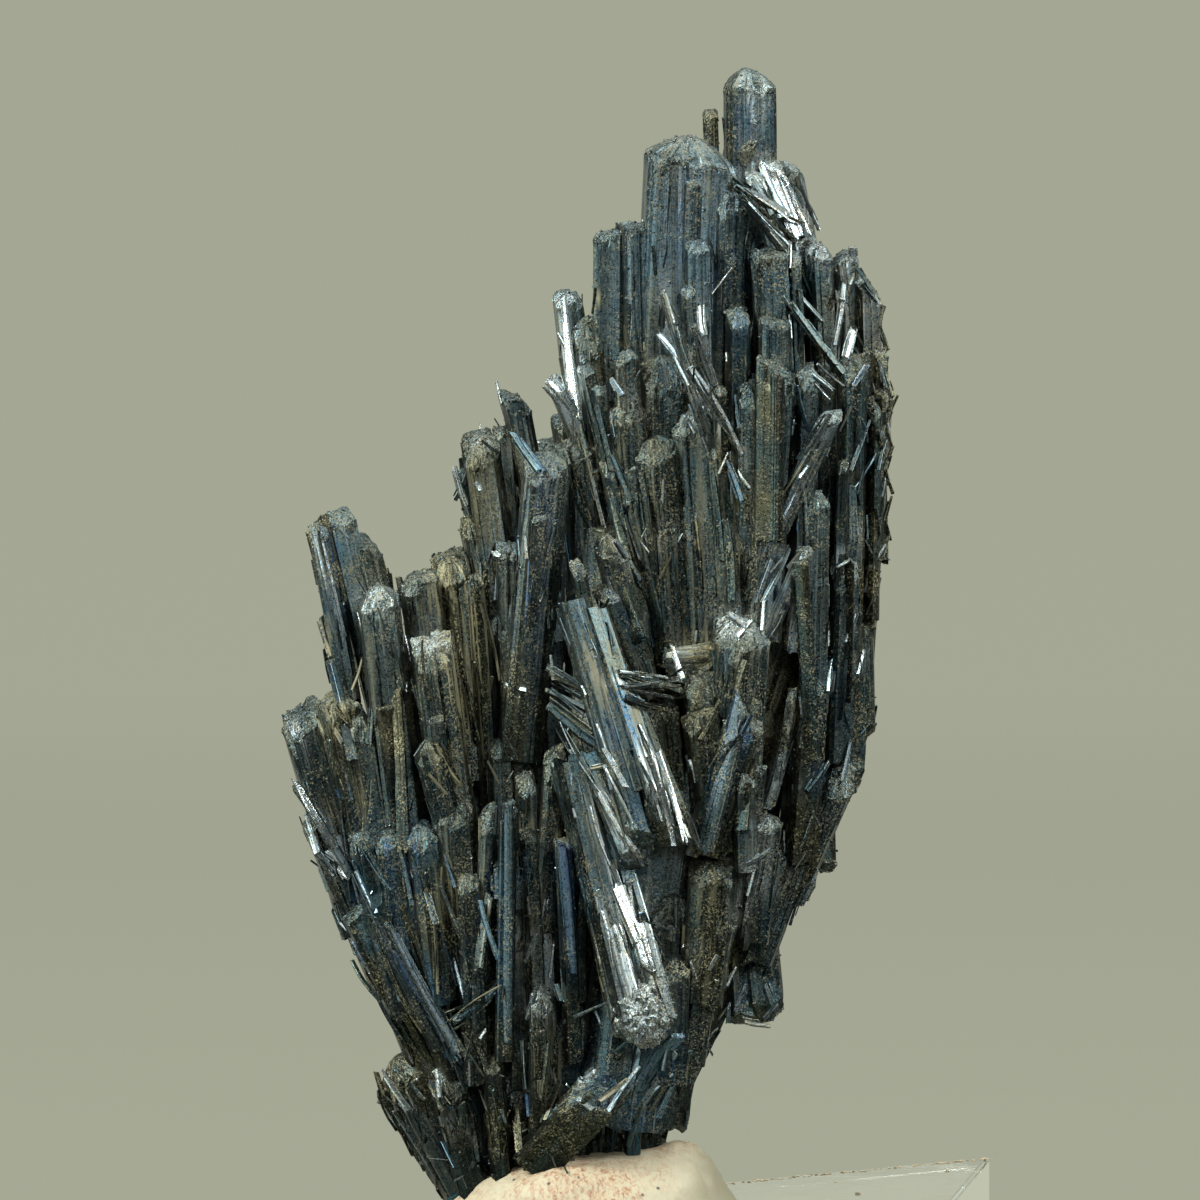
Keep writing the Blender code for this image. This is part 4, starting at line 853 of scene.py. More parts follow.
# ---- The right flank: short steep blades packed edge to edge, many with broken lower ends ----
RIGHT_FLANK = (
    (27.0, 0.0, 76.5, 28.0, 0.0, 99.0, 1.8, 3.6, 10, -0.8, 0.0),
    (26.6, -1.0, 72.5, 28.2, -1.0, 94.2, 2.5, 4.0, 20, -0.5, 0.3),
    (26.0, 0.6, 62.5, 27.4, 1.0, 84.7, 2.3, 4.2, 8, -0.3, 0.3),
    (25.6, 0.0, 77.5, 26.1, -0.4, 58.4, 3.0, 4.2, 12, -0.5, 0.2),
    (24.7, -1.0, 70.5, 24.3, -1.4, 52.0, 4.4, 4.0, 16, -3.2, 0.2),
    (21.8, -1.0, 62.5, 22.5, -1.0, 45.1, 2.5, 3.0, 0, 0.0, 0.3),
    (20.6, 0.0, 58.5, 19.3, 0.0, 41.4, 4.2, 4.0, 18, -2.4, 0.2),
    (14.6, -1.0, 47.5, 16.3, -1.2, 29.7, 4.9, 4.6, 10, 0.4, 1.2),
    (13.5, -2.0, 44.5, 14.1, -2.4, 29.8, 2.6, 3.0, 25, 0.5, 0.4),
    (24.6, -3.4, 68.5, 25.2, -4.0, 97.3, 3.0, 4.0, 12, -0.6, 0.3),
    (27.0, -3.0, 70.5, 27.3, -3.6, 93.0, 1.8, 3.0, 30, 0.3, 0.2),
    (21.2, -6.6, 62.5, 21.6, -7.6, 83.8, 2.9, 3.6, 10, 0.3, 1.1),
    (23.6, -4.6, 56.5, 24.5, -5.6, 78.0, 3.2, 4.0, 20, 0.6, 0.2),
    (24.2, -6.0, 72.5, 24.3, -7.2, 86.8, 1.4, 2.0, 0, 0.2, 0.5),
    (20.0, -7.0, 46.5, 21.4, -8.2, 65.3, 3.4, 4.0, 14, 0.8, 0.3),
    (19.0, -4.6, 42.5, 25.0, -5.2, 56.2, 3.2, 3.4, 24, -0.5, 0.2),
    (15.6, -5.4, 36.5, 20.2, -6.4, 48.8, 3.4, 3.4, 6, 0.6, 0.3),
    (16.8, -8.6, 52.0, 19.4, -9.0, 63.9, 1.4, 1.8, 0, 0.2, 0.0),
    (16.6, -9.6, 68.5, 20.9, -10.8, 78.0, 1.6, 1.6, 30, 0.3, 0.0),
    (19.0, -8.4, 67.5, 20.1, -9.6, 75.6, 1.4, 1.6, 10, 0.3, 0.2),
)
right_flank = grow("right_flank_crystals", RIGHT_FLANK, 12)


# ---- The centre: the broad upright blades and the crusted ones in front of them ----
CENTRE = (
    (13.5, -5.0, 72.5, 13.8, -6.2, 102.3, 2.6, 3.2, 14, 0.2, 0.3),
    (17.5, -6.2, 80.5, 17.4, -7.0, 101.0, 3.6, 3.2, 10, -0.6, 0.2),
    (16.0, -7.4, 68.5, 17.7, -8.6, 97.5, 4.0, 5.0, 20, -0.8, 0.2),
    (14.5, -7.0, 74.5, 14.8, -8.0, 94.8, 1.8, 3.0, 0, 0.0, 0.2),
    (20.0, -7.0, 72.5, 20.8, -8.0, 96.3, 2.4, 3.5, 14, 0.5, 0.0),
    (16.2, -8.4, 76.5, 23.4, -10.6, 91.5, 2.4, 2.2, 10, 0.8, 0.3),
    (12.2, -7.8, 40.5, 14.3, -9.6, 72.0, 5.8, 5.5, 16, 0.4, 0.6),
    (13.5, -7.0, 68.5, 13.3, -8.4, 80.5, 2.2, 3.0, 10, 0.0, 0.2),
    (12.2, -7.0, 85.5, 12.0, -8.2, 94.1, 1.6, 2.0, 20, 0.2, 0.3),
    (4.5, -5.0, 68.5, 2.7, -6.2, 93.1, 4.4, 4.5, 12, -0.8, 0.3),
    (7.4, -5.8, 66.5, 5.2, -7.2, 90.0, 5.0, 4.0, 20, 0.4, 0.3),
    (10.5, -5.0, 66.5, 9.2, -6.0, 92.7, 5.2, 4.0, 8, 0.3, 0.3),
    (12.9, -5.4, 68.5, 11.6, -6.6, 88.5, 2.8, 3.0, 24, -0.4, 0.2),
    (3.2, -5.6, 84.5, 2.5, -6.6, 97.8, 2.5, 3.0, 10, 0.4, 1.0),
    (0.6, -5.2, 85.5, -0.1, -6.2, 94.2, 1.8, 2.4, 20, -0.2, 0.6),
    (6.8, -4.2, 80.5, 6.4, -5.2, 97.6, 5.2, 4.6, 14, 0.5, 0.3),
    (10.5, -7.4, 89.3, 6.2, -9.4, 103.4, 1.0, 1.0, 20, 0.3, 0.0),
    (14.3, -8.0, 87.0, 8.7, -10.0, 95.7, 0.9, 1.0, 45, 0.0, 0.2),
    (11.6, -7.0, 93.5, 9.3, -9.2, 100.0, 1.2, 1.1, 10, 0.3, 0.0),
    (9.2, -5.0, 97.5, 8.8, -6.2, 104.2, 1.6, 1.6, 30, 0.3, 0.2),
    (3.4, -5.4, 72.5, 0.6, -7.0, 87.0, 1.8, 2.4, 12, 0.6, 0.0),
    (5.6, -6.4, 58.5, 0.5, -8.6, 79.6, 3.3, 4.0, 16, 0.2, 1.3),
    (8.2, -6.0, 62.5, 2.8, -7.6, 83.9, 2.6, 3.0, 30, 0.4, 0.2),
    (5.5, -8.0, 61.5, 0.1, -10.0, 74.2, 2.4, 3.0, 8, -0.4, 0.3),
    (-0.4, -9.4, 66.0, -2.5, -11.6, 76.8, 1.6, 1.8, 20, 0.0, 0.6),
    (6.8, -8.0, 66.0, 12.2, -9.0, 66.9, 3.4, 3.0, 10, 0.4, 0.0),
    (10.6, -9.0, 52.5, 10.0, -10.6, 65.7, 3.8, 3.4, 12, 0.2, 0.2),
    (12.2, -10.0, 47.5, 9.7, -12.0, 61.9, 3.8, 3.2, 20, 0.4, 0.5),
    (6.8, -8.4, 52.5, 5.5, -10.2, 62.5, 4.6, 3.4, 6, 0.6, 0.4),
    (10.2, -11.0, 47.5, 14.8, -13.0, 61.3, 4.0, 3.4, 14, 0.5, 0.0),
    (14.5, -12.0, 45.5, 14.3, -13.4, 55.7, 2.2, 2.2, 20, 0.0, 0.6),
    (15.2, -9.8, 38.5, 16.7, -11.4, 51.3, 3.4, 3.0, 10, 0.5, 0.4),
    (10.0, -9.8, 32.5, 11.2, -12.0, 46.7, 4.6, 4.0, 8, 0.3, 0.2),
    (8.8, -8.0, 26.5, 11.2, -10.2, 40.8, 3.6, 4.0, 18, -0.2, 0.3),
    (12.2, -10.0, 34.0, 13.3, -11.6, 40.0, 1.3, 1.4, 0, 0.3, 0.0),
    (7.0, -10.0, 24.5, 7.4, -12.0, 37.4, 3.4, 3.4, 14, 0.2, 0.7),
    (6.4, -8.6, 32.5, 7.2, -10.2, 44.0, 5.0, 4.0, 10, 0.5, 0.3),
)
centre = grow("centre_crystals", CENTRE, 13)


# ---- The left steps: three flights of blades that lean out to the left ----
LEFT_STEPS = (
    (-0.8, 1.6, 80.5, -3.4, 2.0, 103.9, 3.2, 4.0, 14, -0.6, 0.4),
    (0.4, -1.4, 78.5, -1.4, -2.0, 101.1, 3.0, 4.0, 10, 0.8, 0.3),
    (-0.6, -3.0, 85.0, -4.9, -4.2, 95.0, 1.7, 2.0, 8, 0.0, 0.0),
    (-1.5, 0.0, 78.5, -3.9, 0.0, 91.8, 2.6, 3.0, 20, 0.4, 0.4),
    (1.0, -3.6, 85.5, -1.6, -4.6, 96.3, 1.8, 3.0, 12, 0.4, 0.0),
    (-5.5, 2.4, 76.5, -8.8, 3.0, 93.6, 3.0, 4.0, 16, -1.4, 0.4),
    (-8.0, 2.6, 64.0, -9.7, 3.4, 90.2, 2.4, 3.0, 12, 0.3, 0.0),
    (-9.2, 1.4, 68.5, -12.4, 2.0, 90.1, 4.2, 5.0, 10, 0.8, 0.3),
    (-10.6, 2.4, 72.5, -14.1, 3.0, 85.8, 1.6, 2.4, 20, 0.3, 0.2),
    (-9.5, 1.0, 64.5, -13.4, 1.0, 81.3, 2.2, 3.0, 12, 0.4, 0.2),
    (-8.0, -3.0, 54.5, -8.8, -4.0, 78.5, 3.6, 4.0, 8, 0.3, 0.2),
    (-8.0, -4.6, 56.5, -5.1, -6.2, 88.0, 4.8, 4.0, 14, 1.8, 0.0),
    (-1.0, -2.6, 66.5, -2.1, -3.6, 88.9, 3.9, 4.0, 20, -0.4, 0.2),
    (-12.8, -0.8, 54.5, -15.3, -1.0, 78.1, 4.0, 4.5, 10, 0.2, 0.9),
    (-15.0, -2.4, 50.5, -18.3, -3.0, 75.5, 4.0, 4.0, 16, 0.6, 0.2),
    (-18.6, -4.6, 42.5, -22.4, -6.2, 74.3, 4.6, 5.0, 12, 0.3, 1.5),
    (-13.6, -6.4, 44.5, -17.0, -8.2, 69.3, 4.8, 4.0, 8, 0.5, 0.3),
    (-11.0, -3.2, 50.5, -12.5, -4.2, 75.3, 1.8, 3.0, 20, 0.0, 0.2),
    (-13.8, -9.0, 44.5, -17.6, -11.0, 58.9, 3.0, 3.0, 10, 0.6, 1.1),
    (-18.4, -1.0, 48.0, -26.6, 0.0, 82.0, 3.8, 3.6, 14, -1.0, 0.8),
    (-17.0, -0.6, 52.0, -24.2, 0.6, 79.6, 3.6, 3.4, 20, -2.8, 0.2),
    (-25.0, -2.0, 62.5, -28.4, -2.6, 80.5, 2.3, 2.4, 6, 0.6, 0.0),
    (-25.8, -0.8, 60.5, -27.8, -1.2, 70.9, 1.2, 1.6, 20, 0.3, 0.0),
    (-23.4, -2.0, 39.5, -30.0, -3.2, 62.6, 5.4, 6.0, 12, 0.8, 0.7),
    (-22.2, -4.0, 40.5, -26.6, -5.2, 63.4, 4.2, 5.0, 18, 0.4, 0.3),
    (-21.2, -5.0, 42.5, -24.4, -6.2, 62.2, 2.6, 4.0, 10, -1.0, 0.2),
    (-25.0, -6.0, 44.9, -30.5, -6.8, 54.2, 1.1, 1.4, 20, 0.2, 0.0),
    (-21.8, -3.0, 34.0, -29.0, -4.2, 51.1, 2.6, 4.0, 14, 0.4, 0.6),
    (-18.2, -2.6, 26.5, -24.5, -3.2, 42.0, 2.8, 4.0, 8, 0.4, 0.4),
    (-19.8, -6.4, 31.5, -24.0, -8.2, 49.8, 3.4, 4.0, 20, 0.4, 0.3),
    (-18.2, -7.4, 31.5, -21.4, -9.2, 49.9, 3.2, 4.0, 10, -0.2, 0.3),
    (-16.0, -9.2, 32.5, -18.2, -11.0, 50.6, 3.2, 3.6, 14, 0.0, 0.9),
    (-16.8, -4.6, 25.5, -24.6, -6.2, 41.8, 3.2, 3.0, 12, 0.5, 0.0),
    (-14.4, -7.2, 25.0, -21.5, -9.2, 40.8, 2.8, 3.0, 20, 0.5, 0.2),
    (-13.2, -8.2, 24.5, -17.5, -9.8, 34.0, 2.0, 2.4, 10, 0.3, 0.0),
    (-12.4, -9.0, 24.5, -13.4, -11.0, 45.7, 2.8, 3.4, 16, 0.2, 0.3),
    (-13.4, -8.0, 34.5, -15.0, -9.8, 54.2, 4.4, 4.6, 10, 0.6, 0.5),
    (-9.5, -4.0, 42.5, -10.1, -5.2, 58.8, 2.6, 3.0, 8, 0.0, 0.0),
    (-7.0, -5.4, 40.5, -7.5, -6.6, 56.0, 2.2, 3.0, 18, 0.3, 0.0),
)
left_steps = grow("left_step_crystals", LEFT_STEPS, 14)


# ---- The front: the crystals that lie across the others and point down to the right ----
FRONT = (
    (-9.6, -11.4, 26.5, -9.2, -13.0, 52.5, 1.9, 2.2, 10, 0.2, 0.2),
    (-12.0, -9.4, 34.5, -11.1, -11.0, 52.2, 1.9, 2.4, 16, 0.3, 0.2),
    (-6.4, -9.8, 32.5, -7.3, -11.6, 49.8, 1.9, 2.4, 8, 0.0, 0.3),
    (-5.6, -6.8, 39.5, -4.5, -8.2, 58.0, 2.6, 3.0, 14, 0.4, 0.2),
    (-2.6, -10.6, 26.5, -3.7, -12.6, 48.8, 1.8, 2.0, 22, 0.0, 0.1),
    (-1.7, -6.8, 32.5, -1.2, -9.6, 45.6, 1.3, 1.6, 10, 0.3, 0.0),
    (-2.8, -12.4, 56.2, 3.9, -15.2, 27.9, 4.2, 4.6, 14, 0.3, 1.0),
    (0.2, -12.0, 53.0, 5.9, -14.8, 28.6, 3.6, 4.4, 24, -0.3, 1.0),
    (-1.0, -13.0, 57.0, 3.8, -15.0, 45.4, 3.3, 3.0, 8, -0.3, 0.2),
    (-2.7, -13.0, 72.2, 4.3, -16.2, 47.2, 3.4, 4.4, 16, 0.3, 0.3),
    (-0.9, -12.6, 71.0, 6.9, -16.4, 47.6, 3.6, 4.6, 34, 0.2, 0.4),
    (0.9, -12.0, 67.0, 9.0, -15.6, 48.0, 2.3, 3.4, 10, 0.2, 0.0),
    (2.0, -13.4, 59.6, -5.5, -11.6, 63.5, 0.9, 1.2, 20, 0.0, 0.2),
    (1.6, -13.2, 61.2, -5.3, -11.2, 65.8, 1.0, 1.2, 0, 0.2, 0.0),
    (1.8, -13.4, 56.8, -5.2, -11.2, 62.0, 1.1, 1.2, 10, 0.0, 0.2),
    (1.8, -10.2, 65.3, 8.3, -11.6, 63.3, 0.9, 2.0, 10, 0.0, 0.0),
    (2.0, -9.8, 63.4, 8.0, -11.2, 64.6, 0.9, 2.0, 0, 0.2, 0.0),
)
front = grow("front_crystals", FRONT, 35, fine=0.2, rise=0.9)


# ---- The foot: stubby crystals that reach down to the putty ----
FOOT = (
    (4.0, -2.0, 20.5, 15.5, -3.2, 46.5, 4.2, 4.0, 12, 0.3, 0.3),
    (5.5, 0.0, 20.5, 13.8, 0.0, 37.5, 3.4, 4.0, 20, 0.4, 0.2),
    (8.4, 0.6, 32.5, 7.1, 1.0, 19.2, 3.8, 3.6, 8, 0.2, 0.2),
    (-13.0, -2.0, 13.3, -20.5, -3.2, 26.9, 5.2, 7.0, 14, 1.2, 1.3),
    (-13.8, -1.0, 12.9, -21.6, -1.2, 24.8, 3.8, 5.0, 10, 0.6, 0.8),
    (-15.4, -1.6, 19.0, -20.9, -2.6, 27.0, 5.8, 6.0, 10, 1.4, 1.1),
    (-12.8, -6.0, 13.5, -16.0, -8.2, 25.9, 3.4, 4.0, 18, 0.4, 0.3),
    (-10.0, -9.8, 34.0, -14.7, -11.6, 30.3, 1.4, 1.4, 10, 0.2, 0.0),
    (-9.8, -8.4, 15.0, -10.8, -10.6, 27.0, 2.4, 3.0, 20, 0.0, 0.3),
    (-6.0, -10.0, 18.5, -5.9, -12.6, 34.0, 2.4, 3.0, 12, 0.2, 0.4),
    (-6.8, -10.0, 16.0, 1.0, -13.0, 24.6, 4.8, 4.4, 14, 0.6, 0.5),
    (3.2, -7.6, 16.0, 3.7, -9.2, 27.3, 1.7, 2.0, 6, 0.4, 0.0),
    (1.0, -5.0, 16.0, 1.0, -6.4, 32.5, 4.0, 4.0, 16, 0.3, 0.3),
    (4.6, -1.8, 17.5, 5.5, -2.4, 32.5, 4.0, 4.0, 10, 0.3, 0.3),
    (-8.0, -5.6, 14.5, -8.6, -7.2, 28.5, 4.2, 5.0, 20, 0.3, 0.3),
    (-2.8, -5.4, 15.5, -3.0, -7.2, 32.5, 5.0, 5.0, 10, 0.3, 0.3),
)
foot = grow("foot_crystals", FOOT, 16)


# ---- The far side: the same fan of blades, seen from behind ----
FAR_SIDE = (
    (-16.0, 4.0, 30.0, -25.0, 6.0, 58.5, 4.6, 4.4, 14, 0.5, 0.5),
    (-13.0, 5.0, 32.0, -19.5, 8.0, 69.0, 4.8, 4.6, 20, 0.3, 0.8),
    (-10.0, 5.0, 40.0, -14.6, 8.4, 73.0, 4.2, 4.4, 10, -0.4, 0.3),
    (-7.0, 6.0, 46.0, -10.4, 9.6, 83.5, 4.8, 4.8, 16, 0.6, 0.4),
    (-4.0, 5.0, 50.0, -5.6, 8.0, 89.5, 4.4, 4.4, 8, 0.3, 0.6),
    (-0.5, 6.0, 52.0, -1.2, 9.6, 96.5, 4.8, 4.6, 22, -0.5, 0.4),
    (4.0, 5.4, 60.0, 4.6, 8.2, 107.0, 5.2, 4.8, 12, 0.4, 0.8),
    (8.0, 6.0, 60.0, 9.6, 8.8, 113.0, 4.8, 4.8, 18, 0.3, 0.5),
    (12.0, 5.4, 64.0, 14.4, 7.6, 117.5, 4.6, 4.4, 10, -0.6, 0.9),
    (15.0, 6.0, 60.0, 18.8, 8.4, 109.5, 4.4, 4.4, 20, -0.5, 0.4),
    (19.0, 4.6, 58.0, 23.4, 6.6, 101.0, 4.4, 4.4, 12, -0.7, 0.6),
    (20.0, 6.0, 48.0, 23.2, 9.0, 88.0, 4.4, 4.2, 16, 0.4, 0.3),
    (17.0, 6.4, 70.0, 21.6, 8.6, 47.5, 4.0, 4.0, 10, -1.0, 0.4),
    (14.0, 6.8, 38.0, 18.6, 11.4, 76.0, 4.6, 4.2, 22, 0.5, 0.6),
    (9.0, 7.0, 36.0, 12.8, 12.2, 88.0, 5.0, 4.4, 14, 0.4, 0.4),
    (5.0, 7.0, 34.0, 6.2, 12.8, 80.0, 4.8, 4.6, 8, 0.3, 0.7),
    (1.0, 7.0, 32.0, 0.6, 12.0, 72.5, 4.4, 4.4, 18, -0.4, 0.3),
    (-3.0, 6.6, 30.0, -5.2, 12.4, 70.0, 4.6, 4.4, 12, 0.4, 0.5),
    (-7.0, 6.4, 28.0, -11.4, 11.4, 60.5, 4.6, 4.2, 20, 0.5, 0.4),
    (-11.0, 5.6, 26.0, -17.6, 9.6, 51.0, 4.4, 4.2, 10, 0.3, 0.6),
    (-14.0, 4.6, 20.0, -20.2, 6.8, 38.5, 4.0, 4.0, 16, 0.4, 0.4),
    (-9.0, 5.4, 16.5, -12.6, 9.8, 38.0, 4.2, 4.2, 12, 0.3, 0.5),
    (-4.0, 6.0, 16.5, -4.6, 11.0, 48.0, 4.6, 4.4, 20, 0.4, 0.4),
    (1.0, 5.4, 17.0, 3.6, 10.6, 52.0, 4.4, 4.4, 8, 0.3, 0.3),
    (4.0, 4.8, 20.0, 9.6, 9.4, 44.0, 4.2, 4.2, 16, 0.4, 0.5),
    (12.0, 5.0, 56.0, 13.4, 8.0, 33.0, 4.2, 4.0, 12, 0.4, 0.8),
    (-2.0, 4.6, 15.5, -1.0, 8.4, 30.0, 4.0, 4.0, 10, 0.2, 0.3),
    (-9.0, 1.6, 13.6, -14.6, 3.0, 30.0, 4.6, 5.0, 14, 0.5, 0.4),
)
far_side = grow("far_side_crystals", FAR_SIDE, 17)


# ---- The heart: thick crystals inside, which the others stand against ----
INNER = (
    (-3.0, 1.0, 15.5, 9.0, 1.0, 98.0, 8.0, 10.0, 12, 0.0, 0.0),
    (-7.0, 1.0, 15.5, -20.0, 0.6, 58.5, 8.0, 9.0, 12, 0.0, 0.0),
    (1.5, 1.0, 18.0, 22.6, 0.8, 88.0, 8.0, 9.0, 12, 0.0, 0.0),
    (-4.0, 1.0, 15.5, -8.0, 1.0, 76.5, 9.0, 10.0, 12, 0.0, 0.0),
    (0.0, 1.0, 20.5, 16.0, 1.0, 70.5, 12.0, 12.0, 12, 0.0, 0.0),
    (-11.5, -1.0, 14.5, -19.0, -2.0, 36.5, 7.0, 8.0, 12, 0.0, 0.0),
    (2.0, -1.0, 22.5, 3.0, -1.0, 82.0, 14.0, 11.0, 12, 0.0, 0.0),
    (-6.0, -4.0, 17.5, -8.0, -4.6, 50.0, 12.0, 8.0, 12, 0.0, 0.0),
    (2.0, -7.0, 20.5, 7.0, -6.6, 60.0, 10.0, 8.0, 12, 0.0, 0.0),
)
grow("heart_crystals", INNER, 18, fine=0.5, rise=2.5, blades=False)


# ---- The loose blades: thin flat crystals that lie over the others, at the front ----
# They grew last, between the big ones, and many are clean enough to shine. They are stuck fast.
#   foot x, y, z, end x, y, z, width, turn in degrees, finish (how clean, blue, ochre, dusty, crusted)
FINISHES = {
    "C": (0.9, 0.1, 0.0, 0.0, 0.0), "H": (0.4, 0.2, 0.0, 0.15, 0.0), "X": (0.55, 0.8, 0.0, 0.0, 0.0),
    "B": (0.2, 1.0, 0.0, 0.0, 0.0), "T": (0.08, 0.3, 0.0, 0.1, 0.0), "K": (0.0, 0.0, 0.0, 0.0, 0.0),
    "D": (0.0, 0.0, 0.1, 0.8, 0.0), "O": (0.0, 0.0, 0.9, 0.4, 0.0), "G": (0.3, 0.0, 0.6, 0.3, 0.3),
    "W": (1.8, 0.0, 0.0, 0.0, 0.0),
}
